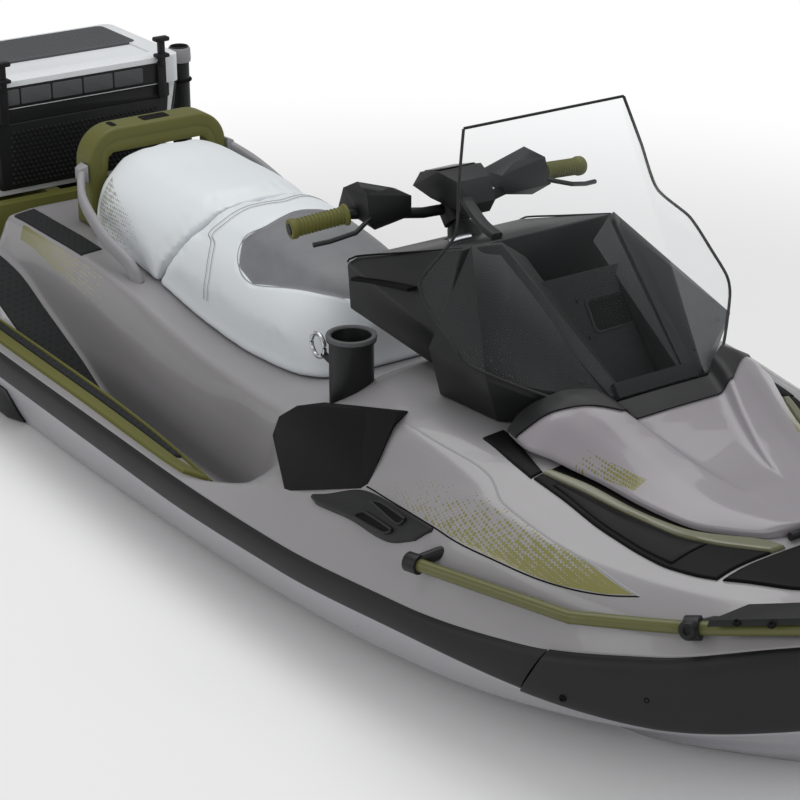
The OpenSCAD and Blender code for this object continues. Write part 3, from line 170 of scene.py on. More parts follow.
# finishes: colour as it looks on screen, roughness, shine, coat, grain per metre and its depth, and the record's slot
finishes = {
    "gelcoat_grey": {"color": (138, 136, 138), "roughness": 0.34, "coat": 0.30},
    "hull_grey": {"color": (158, 158, 163), "roughness": 0.30, "coat": 0.35},
    "black_plastic": {"color": (23, 24, 25), "roughness": 0.44, "shine": 0.28, "grain": 700, "depth": 0.00008},
    "black_rubber": {"color": (26, 26, 28), "roughness": 0.5, "shine": 0.28, "grain": 500, "depth": 0.0001},
    "olive_plastic": {"color": (92, 92, 42), "roughness": 0.5, "shine": 0.35, "grain": 700, "depth": 0.0002},
    "olive_metal": {"color": (84, 85, 42), "roughness": 0.40, "shine": 0.4, "coat": 0.1, "grain": 800, "depth": 0.0001},
    "olive_rubber": {"color": (94, 94, 44), "roughness": 0.6, "shine": 0.3, "grain": 500, "depth": 0.0003},
    "seat_vinyl": {"color": (216, 221, 224), "roughness": 0.5, "grain": 420, "depth": 0.0005},
    "strap_grey": {"color": (140, 139, 142), "roughness": 0.55, "grain": 900, "depth": 0.0003},
    "mat_foam": {"color": (38, 39, 40), "roughness": 0.85, "shine": 0.2, "grain": 420, "depth": 0.0008},
    "cooler_white": {"color": (222, 225, 227), "roughness": 0.45, "grain": 500, "depth": 0.0003},
    "cast_alloy": {"color": (120, 122, 125), "roughness": 0.5, "metal": 1.0, "grain": 300, "depth": 0.0003},
    "steel": {"color": (185, 187, 190), "roughness": 0.25, "metal": 1.0},
    "lid_grey": {"color": (76, 77, 79), "roughness": 0.7, "grain": 420, "depth": 0.0006, "slot": "mat_foam"},
    "shadow_black": {"color": (14, 14, 15), "roughness": 0.7, "shine": 0.1, "grain": 500, "depth": 0.0002,
                     "slot": "black_plastic"},
    "lens_black": {"color": (8, 8, 9), "roughness": 0.26, "shine": 0.08, "slot": "black_plastic"},
    "pod_black": {"color": (14, 14, 15), "roughness": 0.5, "shine": 0.1, "grain": 700, "depth": 0.0001,
                  "slot": "black_plastic"},
    "trim_grey": {"color": (100, 100, 78), "roughness": 0.3, "shine": 0.45, "coat": 0.2, "slot": "olive_plastic"},
    "thread_grey": {"color": (168, 172, 176), "roughness": 0.7, "grain": 900, "depth": 0.0002, "slot": "seat_vinyl"},
}
olive, cream = linear(106, 104, 48), linear(178, 174, 140)
shades, paint, toneOf, slotFor = {}, {}, {}, {}
for name, f in finishes.items():
    shade = shades[name] = Shade(name)
    toneOf[name] = shade.mottled(linear(*f["color"]))
    shade.set(color=toneOf[name], roughness=shade.noise(14.0, 3) * 0.10 + (f["roughness"] - 0.05),
              coat=f.get("coat", 0.0), metallic=f.get("metal", 0.0), specular=f.get("shine", 0.5))
    if "depth" in f:
        shade.set(normal=shade.bump(shade.noise(f["grain"], 2), 0.6, f["depth"]))
    paint[name], slotFor[name] = shade.material, f.get("slot", name)

# fine dark flecks in the moulded lid
fleck = shades["cooler_white"]
spots = fleck.node("ShaderNodeTexVoronoi", {}, {"Vector": fleck.place, "Scale": 260.0}, "Distance")
fleck.set(color=fleck.blend((spots < 0.16) * 0.55, toneOf["cooler_white"], linear(120, 122, 124)))

glass = Shade("clear_sheet")
glass.set(color=linear(236, 240, 242), roughness=0.05, ior=1.5)
_, gy, gz = glass.split(glass.place)
seeThrough = glass.node("ShaderNodeBsdfTransparent", {}, {"Color": (0.982, 0.985, 0.988, 1)}, "BSDF")
facing = glass.node("ShaderNodeLayerWeight", {}, {"Blend": 0.22}, "Fresnel")
# painted sheen: the pane's glossy share grows towards its top and to port, a painted reflection band over the sheet's
# haze and Fresnel
paintedSheen = glass.ramp(gz + gy * 0.9, 0.70, 1.1, shape="SMOOTHSTEP")
hazeAndSheen = facing * 0.13 + paintedSheen * 0.012 + 0.003
sheetMix = glass.node("ShaderNodeMixShader", {}, {0: hazeAndSheen, 1: seeThrough, 2: Wire(glass, glass.bsdf.outputs[0])})
glass.tree.links.new(sheetMix.socket, glass.tree.nodes["Material Output"].inputs[0])
paint["clear_sheet"] = glass.material
print("finishes made:", len(paint))


def link(name, mesh, material):
    piece = bpy.data.objects.new(name, mesh)
    bpy.context.scene.collection.objects.link(piece)
    if material:
        piece.data.materials.clear()
        piece.data.materials.append(material)
    return piece


def settle(piece):
    # modifiers become a plain mesh
    bpy.context.view_layer.update()
    shaped = piece.evaluated_get(bpy.context.evaluated_depsgraph_get())
    mesh = bpy.data.meshes.new_from_object(shaped)
    piece.modifiers.clear()
    piece.data = mesh
    return piece


def modified(piece, kind, **settings):
    # one modifier, made plain mesh
    one = piece.modifiers.new(kind.lower(), kind)
    for key, value in settings.items():
        setattr(one, key, value)
    return settle(piece)


def bevelled(piece, width, segments, angle):
    return modified(piece, "BEVEL", width=width / 1000, segments=segments, limit_method="ANGLE",
                    angle_limit=math.radians(angle))


def finished(piece, body, stands=(), sharp=32):
    for face in piece.data.polygons:
        face.use_smooth = True
    piece.data.set_sharp_from_angle(angle=math.radians(sharp))
    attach(piece, body)
    if stands:
        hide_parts(*stands)
    return piece


def thickened(piece, thick):
    return modified(piece, "SOLIDIFY", thickness=thick, offset=1.0)


def reworked(mesh, change):
    work = bmesh.new()
    work.from_mesh(mesh)
    change(work)
    work.to_mesh(mesh)
    work.free()
    return mesh


def outwards(work):
    bmesh.ops.recalc_face_normals(work, faces=work.faces)


def merged(work):
    bmesh.ops.remove_doubles(work, verts=work.verts, dist=2e-5)
    bmesh.ops.dissolve_limit(work, angle_limit=math.radians(1.0), verts=work.verts, edges=work.edges)


def bisected(work, place, normal, inner=False, outer=False):
    return bmesh.ops.bisect_plane(work, geom=work.verts[:] + work.edges[:] + work.faces[:], plane_co=place,
                                  plane_no=normal, clear_inner=inner, clear_outer=outer)["geom_cut"]


def meshOf(name, form, change=outwards):
    # a form is points in millimetres and faces
    mesh = bpy.data.meshes.new(name)
    mesh.from_pydata([Vector(p) / 1000 for p in form[0]], [], form[1])
    return reworked(mesh, change)


def made(name, form, slot, body="hull", stands=(), bevel=0, sharp=32):
    piece = link(name, meshOf(name, form), paint[slot])
    if bevel:
        bevelled(piece, bevel, 2, 30)
    return finished(piece, body, stands, sharp)


def dressed(node, bevel=3, segments=3, slot=None):
    piece = link(node + "Skin", reworked(nodes[node].data.copy(), merged), paint[slot or slotOf[node]])
    if bevel:
        bevelled(piece, bevel, segments, 24)
    return finished(piece, bodyOf[node], [node])


def mix(a, b, f):
    return a + (b - a) * f


def flip(p):
    return Vector((p[0], -p[1], p[2]))


def pairs(spots):
    # each (place, facing) with its mirror
    return [spot for at, way in spots for spot in ((at, way), (flip(at), flip(way)))]


def ease(a, b, x):
    t = min(1.0, max(0.0, (x - a) / (b - a)))
    return t * t * (3 - 2 * t)


def fair(table, column, x):
    # smooth line through a column of a table, with no overshoot
    i = 0
    while i < len(table) - 2 and x >= table[i + 1][0]:
        i += 1
    secant = lambda j: (table[j + 1][column] - table[j][column]) / (table[j + 1][0] - table[j][0])

    def slope(j):
        if j == 0:
            return secant(0)
        if j == len(table) - 1:
            return secant(j - 1)
        a, b = secant(j - 1), secant(j)
        return 2 * a * b / (a + b) if a * b > 0 else 0
    h = table[i + 1][0] - table[i][0]
    u = (x - table[i][0]) / h
    p, q, m, n = table[i][column], table[i + 1][column], h * slope(i), h * slope(i + 1)
    return p + u * (m + u * (3 * (q - p) - 2 * m - n + u * (m + n - 2 * (q - p))))


def rounded(corners, radii, steps=5, flats=2):
    # broken line with each inner corner turned on a curve
    cut = []
    for i, b in enumerate(corners):
        if i in (0, len(corners) - 1):
            cut.append((b, b))
            continue
        a, c = corners[i - 1], corners[i + 1]
        la, lc = math.dist(a[:2], b[:2]), math.dist(b[:2], c[:2])
        fa, fc = min(0.47, radii[i] / max(la, 1e-6)), min(0.47, radii[i] / max(lc, 1e-6))
        cut.append((tuple(mix(q, p, fa) for p, q in zip(a, b)), tuple(mix(q, p, fc) for p, q in zip(c, b))))
    out = [corners[0]]
    for i in range(1, len(corners)):
        start, end = cut[i - 1][1], cut[i][0]
        for k in range(1, flats + 1):
            out.append(tuple(mix(p, q, k / (flats + 1)) for p, q in zip(start, end)))
        out.append(end)
        if i < len(corners) - 1:
            p, q = cut[i]
            for k in range(1, steps + 1):
                t = k / steps
                out.append(tuple((1 - t) ** 2 * x + 2 * t * (1 - t) * y + t * t * z for x, y, z in zip(p, corners[i], q)))
    return out


def wholeRing(half, radii, steps, flats):
    # half of a section and its mirror
    return rounded(half + [(-y, z) for y, z in half[-2::-1]], radii + radii[-2::-1], steps, flats)


def grid(rows, ring=False, caps=False, ends=False):
    # faces over rows of points; ring joins each row to itself, caps close the first and last row
    points = [tuple(p) for row in rows for p in row]
    n, m = len(rows[0]), len(rows)
    faces = []
    for j in range(m if ends else m - 1):
        for k in range(n if ring else n - 1):
            a, b = j * n + k, j * n + (k + 1) % n
            c, d = ((j + 1) % m) * n + (k + 1) % n, ((j + 1) % m) * n + k
            faces.append((a, b, c, d))
    if caps:
        for first, row in ((0, rows[0]), ((m - 1) * n, rows[-1])):
            middle = tuple(sum(q[i] for q in row) / n for i in range(3))
            points.append(middle)
            faces += [(len(points) - 1, first + k, first + (k + 1) % n) for k in range(n)]
    return points, faces


def joined(*forms):
    points, faces = [], []
    for p, f in forms:
        base = len(points)
        points += [tuple(q) for q in p]
        faces += [tuple(i + base for i in face) for face in f]
    return points, faces


def bothSides(form):
    return joined(form, ([(x, -y, z) for x, y, z in form[0]], [face[::-1] for face in form[1]]))


def smoothPath(points, closed=False, step=6.0, tension=0.5):
    # even points on a curve through the given ones
    pts = [Vector(p) for p in points]
    n = len(pts)
    out = []
    for i in range(n if closed else n - 1):
        p1, p2 = pts[i], pts[(i + 1) % n]
        p0 = pts[i - 1] if closed or i else p1
        p3 = pts[(i + 2) % n] if closed or i + 2 < n else p2
        count = max(2, int((p2 - p1).length / step))
        for k in range(count):
            t = k / count
            m1, m2 = (p2 - p0) * tension, (p3 - p1) * tension
            out.append((2 * t ** 3 - 3 * t * t + 1) * p1 + (t ** 3 - 2 * t * t + t) * m1
                       + (-2 * t ** 3 + 3 * t * t) * p2 + (t ** 3 - t * t) * m2)
    return out if closed else out + [pts[-1]]


def sweep(path, profile, closed=False):
    # profile (across, up) carried along a path
    path = [Vector(p) for p in path]
    n, rows = len(path), []
    up = Vector((0, 0, 1))
    for i, p in enumerate(path):
        a = path[i - 1] if closed or i else p
        b = path[(i + 1) % n] if closed or i + 1 < n else p
        way = (b - a).normalized()
        across = up.cross(way)
        if across.length < 1e-3:
            across = Vector((0, 1, 0))
        across.normalize()
        high = way.cross(across)
        rows.append([p + across * x + high * z for x, z in profile])
    return grid(rows, True, not closed, closed)


def turns(sides):
    return [2 * math.pi * k / sides for k in range(sides)]


def disc(radius, sides):
    return [(radius * math.cos(a), radius * math.sin(a)) for a in turns(sides)]


def lathe(x, y, profile, sides):
    # closed ring of (radius, height) about an upright line
    return grid([[(x + a, y + b, z) for a, b in disc(r, sides)] for r, z in profile], True, False, True)


def flatBar(width, height, r=2.0, steps=3):
    out = []
    for sx, sz, start in ((1, 1, 0), (-1, 1, 90), (-1, -1, 180), (1, -1, 270)):
        for k in range(steps + 1):
            a = math.radians(start + 90 * k / steps)
            out.append((sx * (width / 2 - r) + r * math.cos(a), sz * (height / 2 - r) + r * math.sin(a)))
    return out


def tube(path, radius, sides=10, closed=False):
    return sweep(path, disc(radius, sides), closed=closed)


def slab(outline, low, high, axis=2):
    # flat plate: an outline given in its own plane, thick along one axis
    place = lambda a, b, h: {0: (h, a, b), 1: (a, h, b), 2: (a, b, h)}[axis]
    n = len(outline)
    points = [place(a, b, low) for a, b in outline] + [place(a, b, high) for a, b in outline]
    faces = [tuple(range(n))[::-1], tuple(range(n, 2 * n))] + [(k, (k + 1) % n, n + (k + 1) % n, n + k) for k in range(n)]
    return points, faces


def hullOf(points):
    work = bmesh.new()
    for p in points:
        work.verts.new(p)
    bmesh.ops.convex_hull(work, input=work.verts)
    bmesh.ops.delete(work, geom=[v for v in work.verts if not v.link_faces], context="VERTS")
    bmesh.ops.dissolve_limit(work, angle_limit=math.radians(0.5), verts=work.verts, edges=work.edges)
    work.verts.index_update()
    form = ([tuple(v.co) for v in work.verts], [tuple(v.index for v in f.verts) for f in work.faces])
    work.free()
    return form


def roundRect(w, h, r, steps=6, cx=0.0, cy=0.0):
    return [(cx + x, cy + y) for x, y in flatBar(w, h, r, steps)]


def carve(piece, forms):
    for form in forms:
        cutter = link("cutter", meshOf("cutter", form), None)
        modified(piece, "BOOLEAN", operation="DIFFERENCE", solver="EXACT", object=cutter)
        bpy.data.objects.remove(cutter)
    return piece


def box(x0, x1, y0, y1, z0, z1):
    return slab([(x0, y0), (x1, y0), (x1, y1), (x0, y1)], z0, z1)


# geometry nodes: one tree per repeated shape, ending in plain mesh with its finish
def nodeTree(name, inputs):
    tree = bpy.data.node_groups.new(name, "GeometryNodeTree")
    for label, way, kind in (("Geometry", "INPUT", "Geometry"), *((a, "INPUT", b) for a, b in inputs.items()),
                             ("Finish", "INPUT", "Material"), ("Geometry", "OUTPUT", "Geometry")):
        tree.interface.new_socket(label, in_out=way, socket_type="NodeSocket" + kind)
    start, end = tree.nodes.new("NodeGroupInput"), tree.nodes.new("NodeGroupOutput")
    given = start.outputs

    def add(kind, settings=None, sockets=None):
        return placed(tree, kind, settings, sockets).outputs[0]

    def close(shape, axis="Z", lines=False, **more):
        # shapes on points that carry their facing, or evenly along lines
        if lines:
            line = add("GeometryNodeMeshToCurve", {}, {0: given[0]})
            points = add("GeometryNodeResampleCurve", {"mode": "LENGTH"}, {"Curve": line, "Length": given["Pitch"]})
            facing = add("GeometryNodeInputTangent")
        else:
            points = given[0]
            facing = add("GeometryNodeInputNamedAttribute", {"data_type": "FLOAT_VECTOR"}, {"Name": "facing"})
        turn = add("FunctionNodeAlignRotationToVector", {"axis": axis}, {"Vector": facing})
        spread = {"Points": points, "Instance": shape, "Rotation": turn, **more}
        real = add("GeometryNodeRealizeInstances", {}, {0: add("GeometryNodeInstanceOnPoints", {}, spread)})
        coated = add("GeometryNodeSetMaterial", {}, {"Geometry": real, "Material": given["Finish"]})
        tree.links.new(coated, end.inputs[0])
        return tree

    def times(a, k):
        return add("ShaderNodeMath", {"operation": "MULTIPLY"}, {0: a, 1: k})
    return given, add, times, close


def screwTree():
    # domed heads with a hexagon socket
    given, add, times, close = nodeTree("screwHeads", {"Radius": "Float", "Height": "Float"})
    r, h = given["Radius"], given["Height"]
    head = add("GeometryNodeMeshCone", {}, {"Vertices": 18, "Radius Top": times(r, 0.72), "Radius Bottom": r, "Depth": h})
    hole = add("GeometryNodeMeshCylinder", {}, {"Vertices": 6, "Radius": times(r, 0.42), "Depth": h})
    lift = add("ShaderNodeCombineXYZ", {}, {2: times(h, 1.05)})
    raised = add("GeometryNodeTransform", {}, {"Geometry": hole, "Translation": lift})
    return close(add("GeometryNodeMeshBoolean", {"operation": "DIFFERENCE"}, {"Mesh 1": head, "Mesh 2": raised}))


def stitchTree():
    # short threads laid end to end
    given, add, _, close = nodeTree("stitchRow", {"Pitch": "Float", "Length": "Float", "Thick": "Float"})
    thread = add("GeometryNodeMeshIcoSphere", {}, {"Radius": 0.5, "Subdivisions": 1})
    size = add("ShaderNodeCombineXYZ", {}, {0: given["Length"], 1: given["Thick"], 2: given["Thick"]})
    return close(thread, "X", True, Scale=size)


def ringTree():
    # rings threaded on a line
    given, add, _, close = nodeTree("ringRow", {"Pitch": "Float", "Radius": "Float", "Thick": "Float"})
    hoop = add("GeometryNodeCurvePrimitiveCircle", {}, {"Resolution": 28, "Radius": given["Radius"]})
    wire = add("GeometryNodeCurvePrimitiveCircle", {}, {"Resolution": 8, "Radius": given["Thick"]})
    return close(add("GeometryNodeCurveToMesh", {}, {0: hoop, 1: wire}), lines=True)


def studTree():
    # low studs with a flat top
    given, add, times, close = nodeTree("studField", {"Radius": "Float", "Height": "Float", "Sides": "Int"})
    r = given["Radius"]
    return close(add("GeometryNodeMeshCone", {}, {"Vertices": given["Sides"], "Radius Top": times(r, 0.55),
                                                 "Radius Bottom": r, "Depth": given["Height"]}))


trees = {"screw": screwTree(), "stitch": stitchTree(), "ring": ringTree(), "stud": studTree()}


def grown(name, tree, values, slot, body, spots=None, lines=None):
    # spots are (place, facing) in millimetres, lines are paths
    points, edges = [], []
    if spots:
        points = [Vector(p) / 1000 for p, _ in spots]
    for path in lines or []:
        base = len(points)
        points += [Vector(p) / 1000 for p in path]
        edges += [(base + i, base + i + 1) for i in range(len(path) - 1)]
    mesh = bpy.data.meshes.new(name)
    mesh.from_pydata(points, edges, [])
    if spots:
        facingOf = mesh.attributes.new("facing", "FLOAT_VECTOR", "POINT")
        facingOf.data.foreach_set("vector", [c for _, f in spots for c in f])
    piece = link(name, mesh, None)
    grow = piece.modifiers.new("grow", "NODES")
    grow.node_group = trees[tree]
    values = {**values, "Finish": paint[slot]}
    for socket in trees[tree].interface.items_tree:
        if socket.in_out == "INPUT" and socket.name in values:
            grow[socket.identifier] = values[socket.name]
    settle(piece)
    return finished(piece, body)


print("tools ready")

# hull lines: place, keel height, chine half width and height, bond half width and height, half of the rub band
hullTable = [
    [-1600, -225, 520, 5, 596, 192, 38], [-1200, -240, 540, 0, 612, 192, 38], [-600, -242, 548, 6, 618, 192, 38],
    [0, -238, 542, 22, 618, 192, 38], [500, -222, 520, 40, 606, 203, 34], [900, -182, 468, 62, 572, 228, 34],
    [1200, -120, 385, 92, 503, 240, 50], [1450, -25, 265, 130, 398, 270, 76], [1650, 95, 135, 190, 272, 330, 88],
    [1780, 195, 45, 238, 130, 372, 88], [1840, 250, 14, 268, 40, 392, 86]]
# deck lines: place, then half width and height of the gunwale, rest edge, floor outer, floor inner, side crease,
# pedestal edge, shoulder and top, and the height of the centreline's flat
deckTable = [
    [-1600, 578, 238, 520, 243, 490, 244, 380, 245, 350, 246, 330, 247, 262, 248, 150, 248],
    [-1420, 594, 236, 520, 246, 490, 248, 376, 248, 352, 248, 336, 248, 262, 248, 150, 248],
    [-1320, 596, 234, 508, 242, 488, 284, 372, 292, 350, 350, 336, 392, 264, 402, 150, 402],
    [-1200, 598, 231, 502, 212, 488, 262, 368, 276, 350, 350, 336, 397, 264, 404, 150, 404],
    [-1040, 598, 230, 500, 206, 486, 200, 366, 212, 348, 320, 334, 397, 262, 404, 150, 404],
    [-860, 598, 229, 500, 205, 486, 130, 366, 142, 346, 290, 324, 388, 256, 392, 150, 392],
    [-650, 598, 228, 500, 204, 486, 62, 368, 62, 350, 240, 316, 362, 252, 366, 150, 366],
    [-450, 598, 228, 500, 202, 486, 58, 372, 56, 352, 215, 314, 328, 250, 334, 150, 334],
    [-250, 598, 226, 500, 194, 486, 58, 376, 56, 352, 200, 314, 310, 248, 318, 150, 318],
    [-100, 597, 224, 502, 184, 488, 62, 380, 62, 356, 195, 320, 306, 246, 318, 150, 318],
    [60, 590, 222, 512, 176, 500, 110, 396, 112, 372, 205, 330, 314, 246, 330, 150, 330],
    [200, 566, 246, 530, 235, 515, 222, 436, 240, 400, 300, 360, 352, 262, 372, 150, 372],
    [330, 548, 276, 528, 284, 508, 300, 464, 328, 430, 382, 396, 428, 300, 450, 160, 450],
    [480, 531, 305, 520, 318, 500, 345, 474, 395, 450, 452, 425, 495, 330, 530, 180, 545],
    [700, 525, 352, 512, 372, 486, 414, 458, 460, 446, 488, 430, 520, 375, 540, 200, 545],
    [960, 519, 392, 506, 418, 478, 448, 446, 480, 434, 488, 418, 497, 345, 527, 200, 545],
    [1080, 497, 396, 486, 418, 460, 444, 430, 470, 418, 475, 402, 482, 326, 508, 200, 522],
    [1200, 465, 396, 454, 411, 430, 434, 402, 455, 392, 458, 378, 463, 305, 488, 200, 498],
    [1400, 381, 396, 366, 409, 346, 426, 325, 442, 315, 446, 302, 450, 240, 470, 160, 476],
    [1600, 263, 436, 251, 442, 236, 449, 220, 456, 212, 458, 202, 460, 160, 466, 110, 468],
    [1760, 129, 466, 122, 469, 113, 472, 104, 475, 99, 476, 94, 477, 72, 480, 50, 481],
    [1840, 34, 480, 31.5, 481.5, 29, 483, 26, 484, 24, 484.5, 22, 485, 16, 486, 10, 487]]
shell = {"stern": -1600, "bow": 1840, "stations": 250, "seam": 0.3, "sole": 34,
         "aft": [0, 3, 14, 8, 16, 18, 24, 14, 34, 50, 60], "fore": [0, 3, 18, 9, 14, 18, 18, 14, 40, 60, 80],
         "hull": [0, 3, 18, 9, 7, 7, 14]}


def bond(s):
    return fair(hullTable, 4, s), fair(hullTable, 5, s), fair(hullTable, 6, s)


def deckLine(s, k):
    y, z, half = bond(s)
    if k == 0:
        return y, z + shell["seam"]
    if k == 1:
        return y, z + half
    if k == 10:
        return 0.0, fair(deckTable, 16, s)
    return fair(deckTable, 2 * k - 3, s), fair(deckTable, 2 * k - 2, s)


def deckSection(s):
    # port half outwards to the middle, then starboard: (half width, height, line number)
    f = ease(40, 340, s)
    radii = [mix(a, b, f) for a, b in zip(shell["aft"], shell["fore"])]
    port = [(*deckLine(s, k), float(k)) for k in range(11)]
    full = port + [(-y, z, 20 - u) for y, z, u in port[-2::-1]]
    return rounded(full, radii + radii[-2::-1])


def hullLines(s):
    # half of the hull's section, from the bond down to the keel
    y, z, half = bond(s)
    cy, cz, kz = fair(hullTable, 2, s), fair(hullTable, 3, s), fair(hullTable, 1, s)
    return [(y, z), (y, z - half), (mix(cy, y, 0.25), mix(cz, z - half, 0.22)), (cy, cz), (0.60 * cy, mix(cz, kz, 0.36)),
            (0.57 * cy, mix(cz, kz, 0.46)), (0.0, kz)]


def soleOf(s):
    y, z, _ = bond(s)
    low = min(z - 6, min(fair(deckTable, 6, s), fair(deckTable, 8, s)) - shell["sole"])
    return 0.985 * y, z, min(fair(deckTable, 5, s) + 14, 0.96 * y), low


sections = {}


def halfSection(s):
    key = round(s, 2)
    if key not in sections:
        ring = deckSection(s)
        half = ring[:len(ring) // 2 + 1]
        sections[key] = ([p[2] for p in half], half)
    return sections[key]


def deckAt(s, u):
    us, half = halfSection(s)
    u = min(u, us[-1])
    i = min(len(us) - 2, max(0, bisect_right(us, u) - 1))
    a, b = half[i], half[i + 1]
    f = (u - a[2]) / max(b[2] - a[2], 1e-9)
    return Vector((s, mix(a[0], b[0], f), mix(a[1], b[1], f)))


def onDeck(s, u, lift=0.0):
    # point over the port side of the deck, along the skin's own normal
    p = deckAt(s, u)
    ds = deckAt(s + 3, u) - deckAt(s - 3, u)
    du = deckAt(s, min(10, u + 0.03)) - deckAt(s, max(0, u - 0.03))
    normal = du.cross(ds).normalized()
    return p + normal * lift, normal


stations = [mix(shell["stern"], shell["bow"], i / shell["stations"]) for i in range(shell["stations"] + 1)]
deckRows, hullRows, deckPlace = [], [], []
for s in stations:
    ly, lz, sy, sz = soleOf(s)
    ring = deckSection(s)
    floorZ, seam = sz + shell["seam"], shell["seam"]
    under = [(seam - ly, lz + seam), (2 * seam - sy, floorZ), (sy - 2 * seam, floorZ), (ly - seam, lz + seam)]
    deckRows.append([(s, y, z) for y, z, _ in ring] + [(s, y, z) for y, z in under])
    deckPlace += [(s / 1000, min(u, 20 - u)) for _, _, u in ring] + [(s / 1000, -1.0)] * 4
    full = wholeRing([(-y, z) for y, z in hullLines(s)], shell["hull"], 4, 1)
    hullRows.append([(s, y, z) for y, z in full] + [(s, ly, lz), (s, sy, sz), (s, -sy, sz), (s, -ly, lz)])
hull = link("hullSkin", meshOf("hullSkin", grid(hullRows, True, True)), paint["hull_grey"])
deckMesh = meshOf("deckSkin", grid(deckRows, True, True))
placeMap = deckMesh.uv_layers.new(name="deckPlace")
deckPlace += [(stations[0] / 1000, 5.0), (stations[-1] / 1000, 5.0)]
for loop in deckMesh.loops:
    placeMap.data[loop.index].uv = deckPlace[loop.vertex_index]
deck = link("deckSkin", deckMesh, paint["gelcoat_grey"])
room = box(-520, 80, -205, 205, -125, 275)
carve(hull, [room, box(-1612, -1150, -150, 150, -400, 20),
             slab([(-1152, -400), (-1152, -25), (-820, -260), (-820, -400)], -75, 75, 1)])
carve(deck, [room, box(1030, 1300, -165, 165, 270.5, 700)])
print("hull and deck lofted")

# printed patterns and lines on the deck, and painted shade along its grooves: (place, line number)
grooveLine = [(688, 7.4), (784, 7.36), (912, 7.4), (984, 7.12), (1032, 6.44), (1128, 5.76), (1256, 4.88), (1368, 3.72)]
panelLine = [(664, 3.84), (792, 3.4), (920, 3.0), (1088, 2.72), (1232, 2.76), (1312, 3.12), (1368, 3.72)]
prints = {"cell": 0.0085, "turn": 0.32}
body = shades["gelcoat_grey"]
ps, pu, _ = body.split(body.node("ShaderNodeUVMap", {"uv_map": "deckPlace"}))
px, _, pz = body.split(body.place)
mm = ps * 1000
across = px * math.sin(prints["turn"]) + pz * math.cos(prints["turn"]) * 1.25
lengthwise = px * math.cos(prints["turn"]) - pz * math.sin(prints["turn"])
inPanel = (body.between(mm, 700, 1362) * (pu > body.along(mm, [(a, b + 0.10) for a, b in panelLine], 10.0))
           * (pu < body.along(mm, [(a, b - 0.12) for a, b in grooveLine], 10.0)))
rise = (pu - body.along(mm, panelLine, 10.0)) * 0.16
panelFade = body.ramp(mm, 720.0, 1330.0, 0.10, 1.12)
panelDots = inPanel * body.dots(lengthwise, across, prints["cell"], panelFade - rise)
inPedestal = body.between(mm, -1230, -790) * body.between(pu, 6.1, 6.93)
pedestalFade = body.ramp(mm, -1230.0, -790.0, 1.0, 0.05)
pedestalDots = inPedestal * body.dots(ps, pu * 0.075, prints["cell"], pedestalFade)
printed = body.blend(panelDots, toneOf["gelcoat_grey"], body.blend(body.noise(7.0), olive, linear(124, 121, 70)))
body.set(color=body.blend(pedestalDots, printed, body.blend(pedestalFade, cream, olive)))
finished(hull, "hull", ["hull_shell"], 40)
finished(deck, "hull", ["deck"], 40)


def deckPath(points, lift):
    # smooth path on the deck through (place, line number)
    return [onDeck(p.x, p.y / 100, lift)[0] for p in smoothPath([(a, b * 100, 0) for a, b in points], step=8.0)]


made("panelLines", bothSides(tube(deckPath(panelLine, -0.8), 2.0, 8)), "shadow_black")
# grey tubes sunk along the grooves: painted shade in the groove hollows
made("deckGrooveShade", bothSides(tube(deckPath(grooveLine, -2.2), 3.4, 8)), "strap_grey")


def graded(length, edge, inner):
    # places across a patch, close together near its edges
    edge = min(edge, length * 0.3)
    near = [0, 0.06 * edge, 0.25 * edge, 0.6 * edge, edge]
    count = max(1, int((length - 2 * edge) / inner))
    mid = [edge + (length - 2 * edge) * k / count for k in range(1, count)]
    return near + mid + [length - q for q in near[::-1]]


patchFoot = -3.0


def patch(rows, thick, edge, inner, low=1, high=2):
    # sheet on the deck between two lines of a table, with rounded edges
    s0, s1 = rows[0][0], rows[-1][0]
    sMid = mix(s0, s1, 0.5)
    wide = (deckAt(sMid, fair(rows, high, sMid)) - deckAt(sMid, fair(rows, low, sMid))).length
    us = [q / max(wide, 1e-6) for q in graded(wide, edge, inner)]
    top, under = [], []
    for along in graded(s1 - s0, edge, inner):
        s = s0 + along
        a, b = fair(rows, low, s), fair(rows, high, s)
        span = (deckAt(s, b) - deckAt(s, a)).length
        rowTop, rowUnder = [], []
        for f in us:
            d = min(span * min(f, 1 - f), along, s1 - s0 - along)
            k = min(1.0, d / edge)
            height = thick * math.sqrt(1 - (1 - k) ** 2)
            u = mix(a, b, f)
            rowTop.append(onDeck(s, u, height)[0])
            rowUnder.append(onDeck(s, u, patchFoot)[0])
        top.append(rowTop)
        under.append(rowUnder)
    rows = [t + v[::-1] for t, v in zip(top, under)]
    points, faces = grid(rows, True)
    n, half = len(rows[0]), len(top[0])
    for base, flip in ((0, 1), ((len(rows) - 1) * n, -1)):
        for k in range(half - 1):
            faces.append((base + k, base + n - 1 - k, base + n - 2 - k, base + k + 1)[::flip])
    return bothSides((points, faces))


# rub strip and bow bumper
rub = {"out": 14, "bowOut": 26, "joint": 1228, "faired": 1330, "lean": 28, "gap": 3, "step": 16, "off": 0.3}
stripProfile = rounded([(0, -0.95), (0.7, -0.72), (1, -0.25), (1, 0.25), (0.7, 0.72), (0, 0.95)],
                       [0, 0.3, 0.3, 0.3, 0.3, 0], 3, 1)
bowProfile = rounded([(0, -0.96), (0.55, -0.90), (0.9, -0.62), (1, -0.2), (0.97, 0.3), (0.85, 0.72), (0.45, 0.95),
                      (0, 0.97)], [0, .2, .2, .3, .3, .2, .2, 0], 3, 1)


def jointAt(q):
    return rub["joint"] + bond(rub["joint"])[2] * q * math.tan(math.radians(rub["lean"]))


